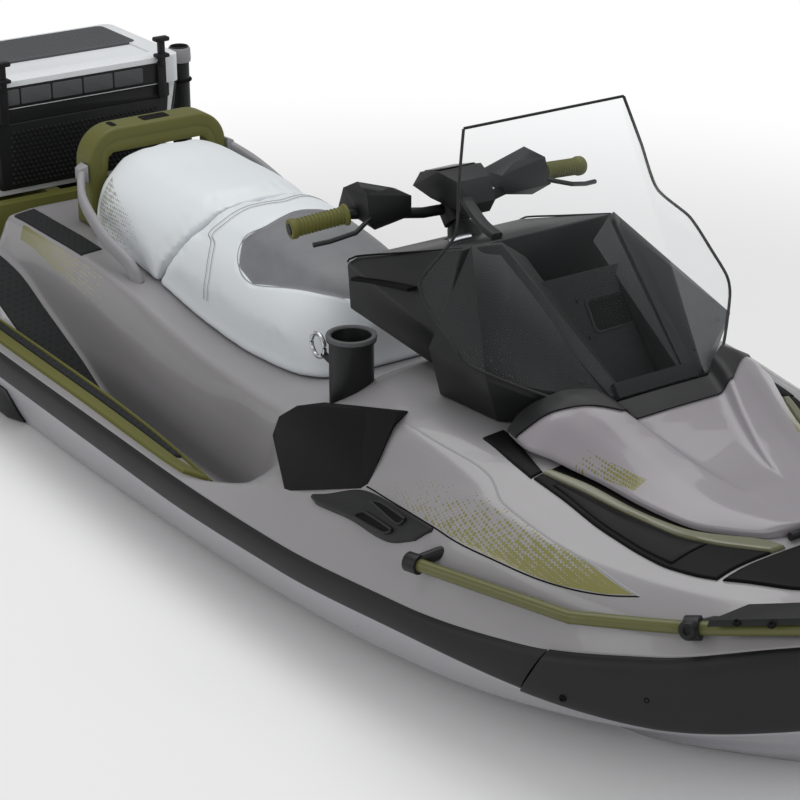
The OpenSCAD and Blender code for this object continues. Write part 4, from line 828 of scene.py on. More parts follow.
count = int((rub["joint"] - shell["stern"]) / rub["step"])
stripRows = []
for i in range(count + 1):
    row = []
    for q in stripProfile:
        s = mix(shell["stern"], jointAt(q[1]), i / count)
        y, z, half = bond(s)
        row.append((s, y + rub["off"] + rub["out"] * q[0], z + half * q[1]))
    stripRows.append(row)
made("rubStrip", bothSides(grid(stripRows, True, True)), "black_rubber", stands=["bumper"], sharp=50)
plan = [Vector((s, bond(s)[0], s)) for s in [mix(rub["joint"], shell["bow"], i / 70) for i in range(71)]]
plan += [Vector((shell["bow"], y, shell["bow"])) for y in (30, 20, 10, 0)]
for _ in range(3):
    inner = [(plan[i - 1] + plan[i] * 2 + plan[i + 1]) / 4 for i in range(1, len(plan) - 1)]
    plan = [plan[0]] + inner + [plan[-1]]
plan += [flip(p) for p in plan[-2::-1]]
bowRows = []
for i, p in enumerate(plan):
    a, b = plan[max(0, i - 1)], plan[min(len(plan) - 1, i + 1)]
    way = Vector((b.x - a.x, b.y - a.y)).normalized()
    fade = 1 - ease(rub["joint"], rub["faired"], p.x)
    side = 1 if i <= len(plan) // 2 else -1
    row = []
    for q in bowProfile:
        shift = (jointAt(q[1]) + rub["gap"] - rub["joint"]) * fade
        y, z, half = bond(p.z + shift)
        out = rub["off"] + rub["bowOut"] * q[0]
        row.append((p.x + shift - way.y * out, (side * y if fade > 0 else p.y) + way.x * out, z + half * q[1]))
    bowRows.append(row)
made("bowBumper", grid(bowRows, True, True), "black_rubber", stands=["bow_bumper"], sharp=50)
print("bumpers swept")

# rails and their fittings
rail = {"tube": 13, "points": [(930, 565, 362), (1272, 480, 380), (1300, 472, 382), (1326, 459, 386), (1504, 357, 416),
                               (1680, 238, 457)]}
made("bowRails", bothSides(tube(smoothPath(rail["points"], step=12, tension=0.42), rail["tube"], 20)), "olive_metal",
     stands=["bow_rails"], sharp=50)
dressed("rail_fittings", 2.5)
bolts = [((1309, 490, 221), (0.34, 0.93, -0.1)), ((1587, 332, 456), (0.2, 0.5, 0.85)),
         ((1640, 300, 466), (0.2, 0.5, 0.85)), ((1460, 417, 268), (0.45, 0.89, -0.05)),
         ((1640, 305, 330), (0.62, 0.78, 0.0))]
grown("bowBolts", "screw", {"Radius": 0.008, "Height": 0.005}, "shadow_black", "hull", pairs(bolts))
clamps = [((1512, 376, 421), (0.5, 0.8, 0.33))]
grown("clampBolts", "screw", {"Radius": 0.019, "Height": 0.012}, "black_plastic", "hull", pairs(clamps))

# hood: place, half width, crown, valley half width, valley depth
hoodTable = [[880, 300, 1, 178, 1], [960, 316, 1, 158, 1], [1020, 292, .94, 144, 1], [1120, 252, .62, 105, .8],
             [1240, 220, .30, 66, .36], [1310, 194, .22, 50, 0], [1370, 140, .17, 40, 0], [1440, 56, .10, 20, 0]]
lidHood = {"start": 886, "end": 1424.8, "crown": 76, "valley": 30, "edge": 14, "nose": 22, "rows": 110,
           "radii": [0, 2, 5, 18, 16, 8, 14, 40], "cut": [(470, 346), (841, 340), (991, 129)], "band": 0.05,
           "bandThick": 0.005}
hoodPrint = {"x": (1.06, 1.18), "side": (0.246, 0.276), "slant": 0.42, "cell": 0.007}
hinge = {"x": 1437.8, "z": 485.05, "radius": 8, "barrel": (-44, 0, 44), "knuckle": (45, 55, 65)}
hoodRows = []
for i in range(lidHood["rows"] + 1):
    s = mix(lidHood["start"], lidHood["end"], i / lidHood["rows"])
    w, v = fair(hoodTable, 1, s), fair(hoodTable, 3, s)
    c, d = lidHood["crown"] * fair(hoodTable, 2, s), lidHood["valley"] * fair(hoodTable, 4, s)
    t = max(0.0, (s - lidHood["end"] + lidHood["nose"]) / lidHood["nose"])
    shrink = math.sqrt(max(0.0, 1 - 0.9 * t * t))
    w, v = w * shrink, v * shrink
    zb = max(deckLine(s, 10)[1], deckLine(s, 8)[1]) + 0.5
    ze = zb + lidHood["edge"]
    half = [(w - 3, zb), (w, zb + 2), (w, ze), (.84 * w, ze + .62 * c), (.66 * w, ze + c), (v, ze + 1.04 * c),
            (.86 * v, ze + 1.06 * c - d), (0, ze + 1.08 * c - d)]
    hoodRows.append([(s, y, z) for y, z in wholeRing(half, lidHood["radii"], 4, 2)])
hoodShade = Shade("hood_grey")
hx, hy, _ = hoodShade.split(hoodShade.place)
side, (x0, x1) = abs(hy), hoodPrint["x"]
hoodFade = hoodShade.ramp(hx, x0, x1, 0.15, 0.8)
flank = hoodShade.between(hx, x0, x1) * hoodShade.between(side + (hx - x0) * hoodPrint["slant"], *hoodPrint["side"])
hoodDots = flank * hoodShade.dots(hx * 0.95 - side * 0.3, side + hx * 0.3, hoodPrint["cell"], hoodFade)
hoodShade.set(color=hoodShade.blend(hoodDots, hoodShade.mottled(linear(133, 129, 134)), olive),
              roughness=hoodShade.noise(14.0) * 0.1 + 0.29, coat=0.3)
hood = link("hoodLid", meshOf("hoodLid", grid(hoodRows, True, True)), hoodShade.material)
cutLine = lidHood["cut"]
carve(hood, [slab([(470, -346)] + cutLine + [(x, -y) for x, y in cutLine[:0:-1]], 400, 900)])
finished(hood, "hood", ["hood"], 40)


def bandOnly(work):
    # upper skin of the hood within a band of the cut
    (xa, ya), (xb, yb) = cutLine[1:]
    slant = Vector((ya - yb, xb - xa, 0)).normalized()
    corner = Vector((xb, yb, 0)) / 1000
    for at, way in ((Vector((corner.x, 0, 0)), Vector((1, 0, 0))), (corner, slant), (flip(corner), flip(slant))):
        bisected(work, at + way * lidHood["band"], way, outer=True)
    work.normal_update()
    bmesh.ops.delete(work, geom=[f for f in work.faces if f.normal.z < 0.25], context="FACES")


band = link("hoodEdgeBand", reworked(hood.data.copy(), bandOnly), paint["black_plastic"])
finished(thickened(band, lidHood["bandThick"]), "hood", (), 40)
barrel, knuckle = (tube([(hinge["x"], y, hinge["z"]) for y in hinge[key]], hinge["radius"], 20)
                   for key in ("barrel", "knuckle"))
made("hoodBarrel", barrel, "black_plastic", "hood")
made("hoodKnuckles", bothSides(knuckle), "black_plastic")
print("hood made")

# lamps: place, low edge, split and high edge as line numbers
lampTable = [[1020, 7.87, 8.06, 8.22], [1060, 7.85, 8.13, 8.33], [1120, 7.80, 8.24, 8.46], [1240, 7.58, 8.40, 8.62],
             [1310, 7.40, 8.44, 8.74], [1370, 7.28, 8.64, 9.06], [1412, 7.29, 8.88, 9.30], [1452, 7.38, 9.14, 9.40]]
noseTable = [[1460, 7.42, 9.98], [1496, 7.60, 9.98], [1568, 7.92, 9.98], [1600, 8.60, 9.98]]
stripTable = [[850, 8.12, 8.46], [890, 8.06, 8.41], [960, 7.92, 8.25], [1016, 7.84, 8.12]]
ledgeTable = [[s, c - 0.02, c + 0.26] for s, _, _, c in lampTable[:-2]]
lensTable = [[s, a + 0.07, b - 0.05] for s, a, b, _ in lampTable[1:6]]
made("lampPods", joined(patch(lampTable, 6, 4, 10), patch(noseTable, 7, 5, 10)), "pod_black", stands=["lamp_pods"])
made("lampLedges", patch(ledgeTable, 2, 2, 12), "pod_black")
made("lampTrims", patch(lampTable, 10, 6, 9, 2, 3), "trim_grey", stands=["lamp_trims"])
made("lampLenses", patch(lensTable, 9, 8, 10), "lens_black")
made("seamStrips", patch(stripTable, 5, 4, 8), "pod_black")

# side vents with two slots each
ventTable = [[505, 2.55, 3.02], [536, 2.10, 3.16], [660, 1.92, 3.66], [800, 1.77, 3.34], [880, 1.95, 3.08],
             [920, 2.70, 2.96]]
slots = [[(712, 511, 391), (746, 508, 402), (840, 517, 407), (823, 524, 389)],
         [(683, 533, 352), (705, 524, 370), (815, 531, 376), (793, 537, 361)]]
made("sideVents", patch(ventTable, 8, 6, 10), "black_plastic", stands=["side_vents"])
rims, dark = [], []
for ring in slots:
    middle = sum((Vector(p) for p in ring), Vector()) / 4
    path = smoothPath([mix(Vector(p), middle, 0.04) + Vector((0, 3, 0)) for p in ring], True, 5, 0.25)
    rims.append(tube(path, 3, 8, True))
    dark.append(grid([[p + Vector((0, -6, 0)) for p in path], path], True, True))
made("ventRims", bothSides(joined(*rims)), "black_plastic")
made("ventSlots", bothSides(joined(*dark)), "shadow_black")
print("lamps and vents made")

# mats: deck sheets between two lines, and studs as radius, height, sides and field
restRows = [[-1130, 2.04, 2.52], [-500, 2.04, 2.50], [-60, 2.04, 2.56], [60, 2.04, 2.9]]
padRows = [[-1130, 2.58, 2.86], [-500, 2.56, 2.86], [-70, 2.62, 2.86]]
rimRows = [[-1130, 2.89, 2.97], [-500, 2.89, 2.97], [60, 2.91, 2.97]]
wellRows = [[s, 4.06, 4.94] for s in (-1300, -620, 60)]
topRows = [[s, 7.08, 7.92] for s in (-1300, -1110, -920)]
studs = {"wellStuds": (0.0062, 0.0018, 4, (-1285, 45, 4.14, 4.86, 19, 5.6)),
         "restStuds": (0.0045, 0.0018, 6, (-1120, -80, 2.61, 2.84, 13, 6.6)),
         "rearStuds": (0.0055, 0.0016, 4, (-1292, -928, 7.14, 7.86, 16, 5.6))}


def studSpots(s0, s1, a, b, pitch, lift):
    # staggered rows on the deck from s0 to s1, between lines a and b
    sMid = mix(s0, s1, 0.5)
    across = max(1, int((deckAt(sMid, b) - deckAt(sMid, a)).length / pitch))
    return pairs([onDeck(s0 + (i + 0.5) * pitch, mix(a, b, (j + (0.75 if i % 2 else 0.25)) / across), lift)
                  for i in range(int((s1 - s0) / pitch)) for j in range(across)])


made("wellMats", patch(wellRows, 6, 5, 18), "mat_foam", stands=["foot_mats"])
made("footRests", joined(patch(restRows, 9, 6, 14), patch(rimRows, 9, 3, 18)), "olive_rubber", stands=["footrests"])
made("restPads", patch(padRows, 7, 4, 14), "mat_foam")
platformMats = bothSides(slab(roundRect(295, 95, 14, 5, -1767, 468.5), 248.3, 254.3))
made("rearMats", joined(patch(topRows, 6, 5, 14), platformMats), "mat_foam", stands=["rear_mats"])
for name, (radius, height, sides, field) in studs.items():
    grown(name, "stud", {"Radius": radius, "Height": height, "Sides": sides}, "mat_foam", "hull", studSpots(*field))
print("mats laid")

# windshield: head and foot of the crease, and the free edge from head to foot
sheet = {"head": (593, 206, 1085), "foot": (987, 120, 612), "thick": 5, "trim": 3.2, "bend": 16,
         "edge": [(620, 236, 985), (646, 264, 886), (654, 354, 808), (722, 362, 748), (778, 356, 710), (808, 340, 677),
                  (916, 226, 622)]}
head, foot = Vector(sheet["head"]), Vector(sheet["foot"])
edgePath = smoothPath([head, *sheet["edge"], foot], step=9, tension=0.36)
knots = [min(range(len(edgePath)), key=lambda i: (edgePath[i] - Vector(p)).length) for p in (head, *sheet["edge"], foot)]
paneLines = []
for j in range(len(knots) - 1):
    for i in range(knots[j], knots[j + 1]):
        f = (j + (i - knots[j]) / (knots[j + 1] - knots[j])) / (len(knots) - 1)
        paneLines.append((edgePath[i], mix(head, foot, f)))
paneLines.append((foot, foot))
paneRows = []
for edge, crease in paneLines:
    k = min(0.5, sheet["bend"] / max((edge - crease).length, 1e-3))
    start, inner = mix(crease, edge, k), crease - Vector((0, sheet["bend"], 0))
    arc = [(1 - t) ** 2 * start + 2 * t * (1 - t) * crease + t * t * inner for t in (0, 0.25, 0.5, 0.75, 1)]
    half = [mix(edge, arc[0], f) for f in (0, 0.25, 0.5, 0.75)] + arc
    mirror = [flip(p) for p in half[::-1]]
    paneRows.append(half + [mix(half[-1], mirror[0], f) for f in (0.25, 0.5, 0.75)] + mirror)


def facingOut(work):
    bmesh.ops.remove_doubles(work, verts=work.verts, dist=1e-4)
    bmesh.ops.recalc_face_normals(work, faces=work.faces)
    if sum((f.normal.x + f.normal.z) * f.calc_area() for f in work.faces) < 0:
        bmesh.ops.reverse_faces(work, faces=work.faces)


pane = link("windshieldPane", meshOf("windshieldPane", grid(paneRows), facingOut), paint["clear_sheet"])
finished(thickened(pane, sheet["thick"] / 1000), "hull", ["windshield"], 40)
rim = [p + Vector((2, 1.5, 1)) for p in edgePath]
topEdge = [mix(head, flip(head), k / 16) + Vector((2, 0, 2)) for k in range(17)]
made("windshieldTrim", joined(bothSides(tube(rim, sheet["trim"], 8)), tube(topEdge, sheet["trim"], 8)), "black_rubber")
print("windshield made")

# cowl under the windshield
dressed("cowl", 5)
ridge = [[Vector(p) for p in line] for line in (((612, 184, 833), (968, 114, 609)), ((648, 146, 842), (968, 82, 612)))]
ridgeRows = []
for k in range(13):
    a, b = (mix(*line, k / 12) for line in ridge)
    low, high = Vector((0, 0, -4)), Vector((2, 0, 5))
    ridgeRows.append([a + low, a + high, b + high, b + low])
made("cowlRidges", bothSides(grid(ridgeRows, True, True)), "black_rubber", bevel=2.5)
pocket = {"top": Vector((722, 0, 776)), "foot": Vector((880, 0, 545.3)), "size": (150, 74, 12, 5), "across": 60,
          "down": 95}
slopeWay = (pocket["foot"] - pocket["top"]).normalized()
slopeOut = Vector((-slopeWay.z, 0, slopeWay.x))


def onPanel(across, down, lift):
    return pocket["top"] + slopeWay * down + slopeOut * lift + Vector((0, across, 0))


def pocketRing(ka, kb, lift):
    return [onPanel(pocket["across"] + a * ka, pocket["down"] + b * kb, lift) for a, b in roundRect(*pocket["size"])]


pocketRows = [pocketRing(k, k, lift) for k, lift in ((1.0, -2), (1.0, 3), (0.93, 3), (0.88, -1))]
made("cowlPocket", grid(pocketRows, True, True), "black_rubber", bevel=1)
made("cowlPocketFloor", grid([pocketRing(0.9, 0.86, lift) for lift in (-2, 0.4)], True, True), "shadow_black")
panelScrews = ((-30, 55), (-30, 135), (150, 55), (150, 135), (-110, 40), (-110, 150))
wingScrews = ((0.14, 0.1), (0.45, 0.08), (0.8, 0.06), (0.75, 0.2), (0.3, 0.55), (0.12, 0.78))
wingA, wingB, wingC = Vector((600, 188, 838)), Vector((835, 322, 652)), Vector((970, 116, 606))
wingOut = (wingB - wingA).cross(wingC - wingA).normalized()
wingOut = wingOut if wingOut.y > 0 else -wingOut
cowlScrews = [(onPanel(y, d, 0.5), slopeOut) for y, d in panelScrews]
cowlScrews += pairs([(wingA + (wingB - wingA) * f + (wingC - wingA) * g + wingOut * 0.5, wingOut) for f, g in wingScrews])
grown("cowlScrews", "screw", {"Radius": 0.005, "Height": 0.0028}, "black_plastic", "hull", cowlScrews)
print("cowl dressed")

# steering: bar, grips, pods, gauge
for node, edge in (("dash_box", 7), ("column", 3), ("handlebar", 1), ("control_pods", 5), ("levers", 1.5),
                   ("gauge_pod", 5), ("grips", 2)):
    dressed(node, edge)
gripPath = [mix(Vector((255, 261, 823)), Vector((231, 397, 807)), f) for f in (0.14, 0.5, 0.82)]
grown("gripRibs", "ring", {"Pitch": 0.0085, "Radius": 0.0178, "Thick": 0.0024}, "olive_rubber", "steering",
      lines=[gripPath, [flip(p) for p in gripPath]])
screen = hullOf([(x, k * y, z) for k in (1, -1) for x, y, z in
                 ((222, 40, 872), (290, 50, 892.5), (222, 40, 868), (290, 50, 886))])
made("gaugeScreen", screen, "lens_black", "steering", bevel=2)
lidLine = smoothPath([(212, 236, 696), (240, 232, 716), (400, 214, 768), (580, 196, 826)], step=20)
made("dashLidLine", bothSides(tube(lidLine, 2.2, 8)), "shadow_black")
recess = smoothPath([(246, 238, 668), (340, 240, 690), (470, 244, 714)], step=14)
made("dashRecess", bothSides(sweep(recess, flatBar(26, 8, 3))), "shadow_black")
arm = smoothPath([(380, -40, 846), (430, -66, 850), (500, -86, 836), (560, -92, 826)], step=10)
made("dashArm", sweep(arm, flatBar(26, 16, 5)), "black_plastic")
buckle = smoothPath([(470, -150, 800), (478, -128, 806), (488, -106, 810)], step=6)
made("dashBuckle", sweep(buckle, flatBar(18, 8, 3)), "steel")
print("steering dressed")

# seats: place, base half width, shoulder half width and height, crown height
seatTable = [[-1060, 214, 146, 564, 604], [-1030, 232, 160, 580, 620], [-960, 240, 166, 582, 620],
             [-800, 242, 165, 582, 608], [-620, 242, 160, 576, 610], [-450, 240, 152, 566, 612],
             [-300, 236, 146, 556, 600], [-170, 228, 138, 542, 580], [-90, 216, 128, 526, 562],
             [-40, 200, 112, 502, 534], [-6, 178, 92, 462, 490], [12, 152, 74, 410, 430]]
seat = {"start": -1060, "end": 12, "rows": 90, "radii": [0, 10, 40, 40, 26, 26, 26, 30], "inset": 5, "voxel": 0.008,
        "pressure": 4.0, "cap": 0.009, "splitLow": (-735, 300), "splitHigh": (-500, 640), "gap": 5, "axis": 380,
        "frames": 20, "sink": 0.006, "unroll": 3.2, "outside": -50.0}
seatRows = []
for i in range(seat["rows"] + 1):
    s = mix(seat["start"], seat["end"], i / seat["rows"])
    b, y, sz, t = (fair(seatTable, k, s) for k in (1, 2, 3, 4))
    ends = min(1.0, math.sqrt(max(0.0, 1 - max(0.0, 1 - (s - seat["start"]) / 40) ** 2)) * 0.12 + 0.88)
    zb = deckLine(s, 10)[1] + 0.5
    half = [(b - 12, zb), (b, zb + 14), (b - 2, mix(zb, sz, 0.35)), (mix(b, y, 0.4), mix(zb, sz, 0.75)), (y + 8, sz - 8),
            (0.86 * y, mix(sz, t, 0.5)), (0.5 * y, mix(sz, t, 0.88)), (0, t)]
    half = [((p - seat["inset"]) * ends if p else 0,
             zb + (q - zb - (seat["inset"] if q > zb + 20 else 0)) * (0.5 + 0.5 * ends)) for p, q in half]
    seatRows.append([(s, p, q) for p, q in wholeRing(half, seat["radii"], 4, 2)])
seatForm = grid(seatRows, True, True)
(xa, za), (xb, zb) = seat["splitLow"], seat["splitHigh"]
splitAt, splitNormal = Vector((xa, 0, za)), Vector((zb - za, 0, xa - xb)).normalized()
# outline of the grey insert: place and angle round the seat
insertLine = [(-370, 0), (-362, 14), (-360, 26), (-381, 41), (-340, 55.6), (-265, 61), (-148, 52), (-70, 44), (-30, 36),
              (2, 20), (8, 0)]


def insertDepth(p):
    # distance inside the insert's outline, unrolled over the seat
    x, w = p.x * 1000, math.degrees(math.atan2(abs(p.y) * 1000, p.z * 1000 - seat["axis"]))
    flatP = Vector((x, w * seat["unroll"]))
    inside, near = False, 1e9
    ring = [Vector((a, b * seat["unroll"])) for a, b in insertLine]
    ring += [Vector((a.x, -a.y)) for a in ring[-2:0:-1]]
    for a, b in zip(ring, ring[1:] + ring[:1]):
        if (a.y > flatP.y) != (b.y > flatP.y) and flatP.x < (b.x - a.x) * (flatP.y - a.y) / (b.y - a.y) + a.x:
            inside = not inside
        t = max(0.0, min(1.0, (flatP - a).dot(b - a) / (b - a).length_squared))
        near = min(near, (flatP - a - (b - a) * t).length)
    return near if inside else -near


vinyl = shades["seat_vinyl"]
marked = vinyl.node("ShaderNodeAttribute", {"attribute_name": "insert"}, {}, "Fac")
vx, _, vz = vinyl.split(vinyl.place)
greyTone = vinyl.blend(vinyl.noise(30.0), linear(104, 105, 108), linear(118, 119, 122))
seatFade = vinyl.ramp(vx, -1.0, -0.78, 0.62, 0.0)
onFlank = vinyl.between(vx, -1.0, -0.78) * vinyl.between(vz + (vx + 1.0) * 0.35, 0.42, 0.56)
seatDots = onFlank * vinyl.dots(vx, vz, 0.010, seatFade)
vinyl.set(color=vinyl.blend(marked > 0.0, vinyl.blend(seatDots * 0.6, toneOf["seat_vinyl"], olive), greyTone))


def seatPiece(name, node, keepFront):
    def parted(work):
        origin = (splitAt + splitNormal * (seat["gap"] if keepFront else -2)) / 1000
        cut = bisected(work, origin, splitNormal, keepFront, not keepFront)
        bmesh.ops.holes_fill(work, edges=[e for e in cut if isinstance(e, bmesh.types.BMEdge)])
        bmesh.ops.recalc_face_normals(work, faces=work.faces)
    piece = link(name, reworked(meshOf(name, seatForm), parted), paint["seat_vinyl"])
    modified(piece, "REMESH", mode="VOXEL", voxel_size=seat["voxel"])
    before = [v.co.copy() for v in piece.data.vertices]
    swell = piece.modifiers.new("swell", "CLOTH")
    swell.settings.use_pressure = True
    swell.settings.uniform_pressure_force = seat["pressure"]
    swell.settings.effector_weights.gravity = 0
    swell.settings.quality = 3
    swell.collision_settings.use_collision = False
    swell.point_cache.frame_start, swell.point_cache.frame_end = 1, seat["frames"]
    for f in range(1, seat["frames"] + 1):
        bpy.context.scene.frame_set(f)
    settle(piece)
    bpy.context.scene.frame_set(1)
    for v, old in zip(piece.data.vertices, before):
        move = v.co - old
        if move.length > seat["cap"]:
            move.length = seat["cap"]
        base = deckLine(old.x * 1000, 10)[1] / 1000
        hold = ease(base + 0.004, base + 0.03, old.z)
        v.co = old + move * hold
    modified(piece, "SMOOTH", factor=0.5, iterations=6)
    modified(piece, "SUBSURF", levels=1, render_levels=1)
    marks = piece.data.attributes.new("insert", "FLOAT", "POINT")
    depth = [insertDepth(v.co) if v.co.z > 0.45 else seat["outside"] for v in piece.data.vertices]
    marks.data.foreach_set("value", depth if keepFront else [seat["outside"]] * len(depth))
    if keepFront:
        for v, d in zip(piece.data.vertices, depth):
            if d > -12:
                v.co -= Vector((0, v.co.y, v.co.z - seat["axis"] / 1000)).normalized() * seat["sink"] * ease(-12, 10, d)
    piece.data.materials.clear()
    piece.data.materials.append(paint["seat_vinyl"])
    return finished(piece, "hull", [node], 60)


frontSeat = seatPiece("frontSeat", "seat_front", True)
rearSeat = seatPiece("rearSeat", "seat_rear", False)
print("seats swelled:", len(frontSeat.data.polygons), len(rearSeat.data.polygons))


frontSkin = BVHTree.FromPolygons([v.co for v in frontSeat.data.vertices], [p.vertices for p in frontSeat.data.polygons])


def onSeat(x, angle, lift):
    # point on the front seat, by place and angle from the middle, plus to port
    a = math.radians(angle)
    way = Vector((0, math.sin(a), math.cos(a)))
    start = Vector((x / 1000, 0, seat["axis"] / 1000)) + way
    hit, normal, _, _ = frontSkin.ray_cast(start, -way)
    return (hit + normal * lift / 1000) * 1000 if hit else None


def seatPath(points, lift):
    path = [onSeat(p.x, p.y, lift) for p in smoothPath([(a, b, 0) for a, b in points], step=2.5)]
    return [p for p in path if p]


doubleHalf = [(-449, 85), (-445, 70), (-472, 52), (-502, 46.7), (-489, 36.5), (-482, 22), (-465, 12), (-448, 0)]
seamLines, threadLines = [], []
doubleSeam = doubleHalf + [(x, -a) for x, a in doubleHalf[-2::-1]]
insertEdge = [p for p in insertLine if p[0] < -25]
insertSeam = [(x, -a) for x, a in insertEdge[:0:-1]] + insertEdge
for line in (doubleSeam, [(x + 16, a) for x, a in doubleSeam], insertSeam):
    seamLines.append(seatPath(line, -0.6))
    threadLines.append(seatPath([(x + 6, a) for x, a in line], 0.5))
made("seatSeams", joined(*[tube(p, 1.6, 6) for p in seamLines]), "strap_grey")
grown("seatStitches", "stitch", {"Pitch": 0.0055, "Length": 0.0042, "Thick": 0.0014}, "thread_grey", "hull",
      lines=threadLines)
print("seams sewn")

# arch and straps behind the seat
dressed("grab_arch", 10, 4)
archHalf = [(120, 634), (158, 622), (176, 600), (178, 500), (160, 500), (150, 588), (136, 600)]
archPlate = [(-120, 634)] + archHalf + [(-y, z) for y, z in archHalf[:0:-1]]
made("archPlate", slab(archPlate, -1082, -1070.5, 0), "olive_plastic", bevel=3)
archSlots = joined(slab(roundRect(40, 16, 5, 4, -1110, -118), 655, 667.5),
                   slab(roundRect(40, 80, 6, 4, -1110, 10), 660, 667.5))
made("archSlots", archSlots, "shadow_black")
strapPath = smoothPath([(-1090, 222, 554), (-1000, 268, 512), (-850, 288, 458), (-740, 276, 412), (-715, 268, 368)],
                       step=12)
made("grabStraps", bothSides(sweep(strapPath, flatBar(20, 38, 9))), "strap_grey", stands=["grab_straps"])
block = [(x, 214, z) for x in (-1108, -1066) for z in (530, 580)]
block += [(x, 238, z) for x in (-1100, -1074) for z in (540, 570)]
made("strapBlocks", bothSides(hullOf(block)), "strap_grey", bevel=3)
print("arch and straps made")

# cooler on its rack
cooler = {"x1": -1500, "top": 630.6, "lid": 78, "pitch": 13}
for node, edge in (("rack", 8), ("cooler_body", 10), ("cooler_lid", 9), ("rod_holders", 1.5), ("platform", 8),
                   ("cooler_panel", 3)):
    dressed(node, edge)
lidTop = cooler["top"] + 0.3 + cooler["lid"]


def onFront(w, h, r, y, z, low=cooler["x1"] - 2, high=cooler["x1"] + 2, steps=4):
    # plate that faces forward, by its middle
    return slab(roundRect(w, h, r, steps, y, z), low, high, 0)


made("lidMat", slab(roundRect(226, 560, 22, 6, -1809, 0), lidTop - 6, lidTop + 1.5), "lid_grey", "cooler_lid", bevel=1.5)
matSpots = [((-1912 + i * cooler["pitch"] + (j % 2) * 6, -266 + j * cooler["pitch"], lidTop + 1.9), (0, 0, 1))
            for i in range(16) for j in range(42)]
grown("lidMatStuds", "stud", {"Radius": 0.004, "Height": 0.0014, "Sides": 6}, "lid_grey", "cooler_lid", matSpots)
made("lidBand", onFront(528, 60, 6, -24, cooler["top"] + 33), "black_plastic", "cooler_lid", bevel=1)
made("panelHead", onFront(556, 40, 5, 0, cooler["top"] - 22, -1518, -1505), "black_plastic", bevel=2)
bands = joined(*[onFront(92, 44, 5, y, cooler["top"] + 34, high=cooler["x1"] + 5) for y in (-245, -148, -51, 46, 143)])
made("lidBandBlocks", bands, "lid_grey", "cooler_lid", bevel=1)
net = {"y": -224, "z": 412, "across": 14, "up": 13.5, "foot": (-1516.6, 375.6), "head": (-1499.4, 630.6)}
panelBump = []
for i in range(33):
    for j in range(12):
        y, z = net["y"] + i * net["across"] + (j % 2) * net["across"] / 2, net["z"] + j * net["up"]
        f = (z - net["foot"][1]) / (net["head"][1] - net["foot"][1])
        panelBump.append(((mix(net["foot"][0], net["head"][0], f), y, z), (1, 0, 0.1)))
grown("panelMesh", "stud", {"Radius": 0.0062, "Height": 0.004, "Sides": 8}, "black_plastic", "hull", panelBump)
latchY = 249
latch = joined(onFront(26, 108, 6, latchY, 644, -1499.7, -1490), onFront(46, 13, 5, latchY, 764, -1501, -1480),
               onFront(18, 76, 4, latchY, 724, -1499, -1484, 3), onFront(42, 11, 4, latchY, 716, -1502, -1479, 3))
made("lidLatches", bothSides(latch), "black_rubber", "cooler_lid", stands=["cooler_latches"], bevel=2)
rod = {"x": -1610, "y": 373, "clamp": 30,
       "cap": ((24, 655), (33, 655), (34, 662), (33, 692), (30, 697), (26, 697), (24, 690))}
made("rodCaps", bothSides(lathe(rod["x"], rod["y"], rod["cap"], 28)), "strap_grey")
clampRing = smoothPath([(rod["x"] + a, rod["y"] + b, 600) for a, b in disc(rod["clamp"], 16)], True, 6)
made("rodClamps", bothSides(tube(clampRing, 5, 8, True)), "shadow_black")
strut = sweep([(-1596, 345, 632), (-1540, 300, 560), (-1512, 262, 500)], flatBar(20, 8, 3))
made("rodStruts", bothSides(strut), "black_plastic")
print("cooler made")

# deflectors, cups and the gear below
dressed("leg_deflectors", 6, slot="pod_black")
for node, edge in (("cup_holders", 2), ("sponsons", 5), ("ride_plate", 4), ("pump", 1), ("impeller", 0),
                   ("nozzle", 1.5), ("bucket", 2), ("intake_grate", 1), ("engine", 8), ("tow_eyes", 1),
                   ("boarding_step", 2)):
    dressed(node, edge)
cup = {"x": 415, "y": 362, "rim": ((43, 617), (45, 621), (50, 622.5), (54, 621), (55, 617), (54, 612), (47, 612)),
       "hook": 26}
made("cupRims", bothSides(lathe(cup["x"], cup["y"], cup["rim"], 40)), "lid_grey")
hook = smoothPath([(300 + a, 372, 560 + b) for a, b in disc(cup["hook"], 14)], True, 6)
made("cupHooks", bothSides(tube(hook, 5, 8, True)), "steel")
stalk = sweep([(318, 370, 546), (350, 366, 534), (372, 364, 526)], flatBar(16, 10, 4))
made("cupStalks", bothSides(stalk), "black_plastic")
print("gear dressed")

# camera, fitted to the photograph's view
lens = {"azimuth": 55.33663, "elevation": 23.46279, "distance": 5.331937, "focal": 2253.015 / 800 * 36,
        "target": (0.0717160, 0.0, 0.2578813)}
turn, lift = math.radians(lens["azimuth"]), math.radians(lens["elevation"])
back = Vector((math.sin(turn) * math.cos(lift), -math.cos(turn) * math.cos(lift), math.sin(lift)))
camera = bpy.data.objects.new("camera", bpy.data.cameras.new("camera"))
bpy.context.scene.collection.objects.link(camera)
camera.location = Vector(lens["target"]) + lens["distance"] * back
camera.rotation_euler = back.to_track_quat("Z", "Y").to_euler()
camera.data.lens, camera.data.sensor_width = lens["focal"], 36
camera.data.clip_end = 200
bpy.context.scene.camera = camera

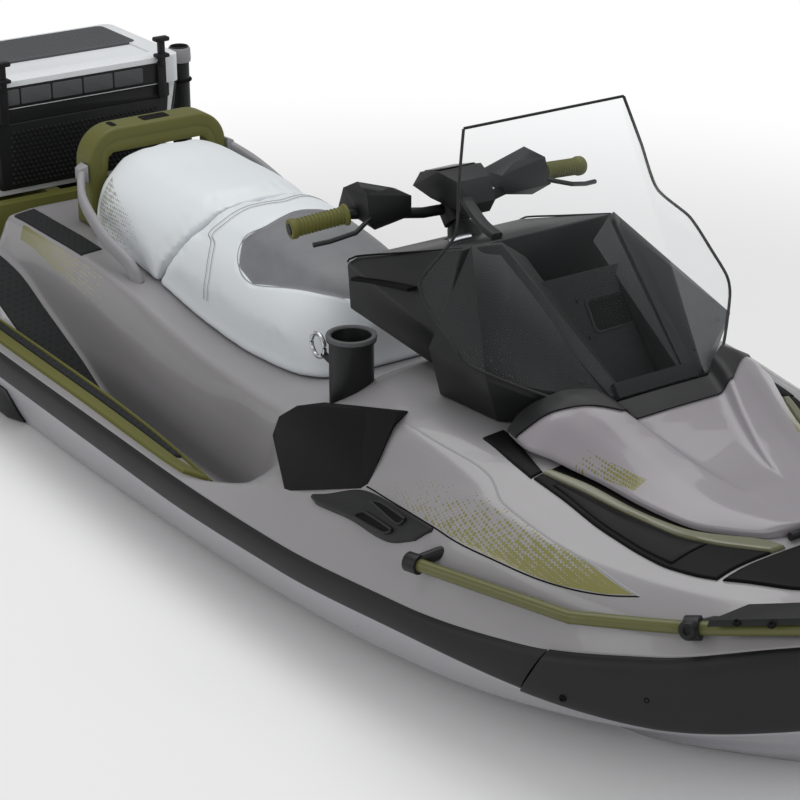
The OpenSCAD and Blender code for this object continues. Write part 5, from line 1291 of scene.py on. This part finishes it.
# floor at the waterline, white far from the craft
floorMesh = bpy.data.meshes.new("floor")
reach = 40
floorMesh.from_pydata([(a * reach, b * reach, 0) for a, b in ((-1, -1), (1, -1), (1, 1), (-1, 1))], [], [(0, 1, 2, 3)])
paper = Shade("floorPaper")
paper.set(color=(0.86, 0.86, 0.86), roughness=0.9, specular=0.0)
far = paper.node("ShaderNodeVectorMath", {"operation": "LENGTH"}, {0: paper.place}, "Value")
light = {way: paper.node("ShaderNodeLightPath", out="Is %s Ray" % way) for way in ("Camera", "Glossy", "Transmission")}
seen = light["Camera"] + light["Glossy"] + light["Transmission"]
glow = paper.node("ShaderNodeEmission", {}, {"Color": (1, 1, 1, 1), "Strength": 1.0}, "Emission")
fade = paper.ramp(far, 1.6, 3.6, shape="SMOOTHSTEP")
page = paper.node("ShaderNodeMixShader", {}, {0: fade * seen, 1: Wire(paper, paper.bsdf.outputs[0]), 2: glow})
paper.tree.links.new(page.socket, paper.tree.nodes["Material Output"].inputs[0])
floor = link("floor", floorMesh, paper.material)
floor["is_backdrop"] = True


# soft studio light
def lamp(name, where, aim, size, power):
    data = bpy.data.lights.new(name, "AREA")
    data.shape, data.size, data.size_y, data.energy = "RECTANGLE", size[0], size[1], power
    one = bpy.data.objects.new(name, data)
    bpy.context.scene.collection.objects.link(one)
    one.location = where
    one.rotation_euler = (Vector(where) - Vector(aim)).to_track_quat("Z", "Y").to_euler()


lamp("overhead", (-0.6, 0.6, 5.0), (0, 0, 0), (5.0, 4.0), 145)
lamp("front", (4.5, -1.0, 2.6), (0.5, 0, 0.4), (3.0, 2.0), 40)
lamp("side", (-0.5, -5.0, 2.4), (0, 0, 0.3), (4.0, 2.0), 45)
sky = bpy.data.worlds.new("studio")
bpy.context.scene.world = sky
sky.use_nodes = True
skyTree = sky.node_tree
dim, white = skyTree.nodes["Background"], placed(skyTree, "ShaderNodeBackground", {}, {1: 1.0})
dim.inputs[0].default_value, dim.inputs[1].default_value = (1, 1, 1, 1), 0.42
rays = placed(skyTree, "ShaderNodeLightPath").outputs
either = placed(skyTree, "ShaderNodeMath", {"operation": "ADD", "use_clamp": True},
                {0: rays["Is Camera Ray"], 1: rays["Is Transmission Ray"]})
mixed = placed(skyTree, "ShaderNodeMixShader", {}, {0: either.outputs[0], 1: dim.outputs[0], 2: white.outputs[0]})
skyTree.links.new(mixed.outputs[0], skyTree.nodes["World Output"].inputs[0])
bpy.context.scene.view_settings.view_transform = "Standard"
print("stage set")

low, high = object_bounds()
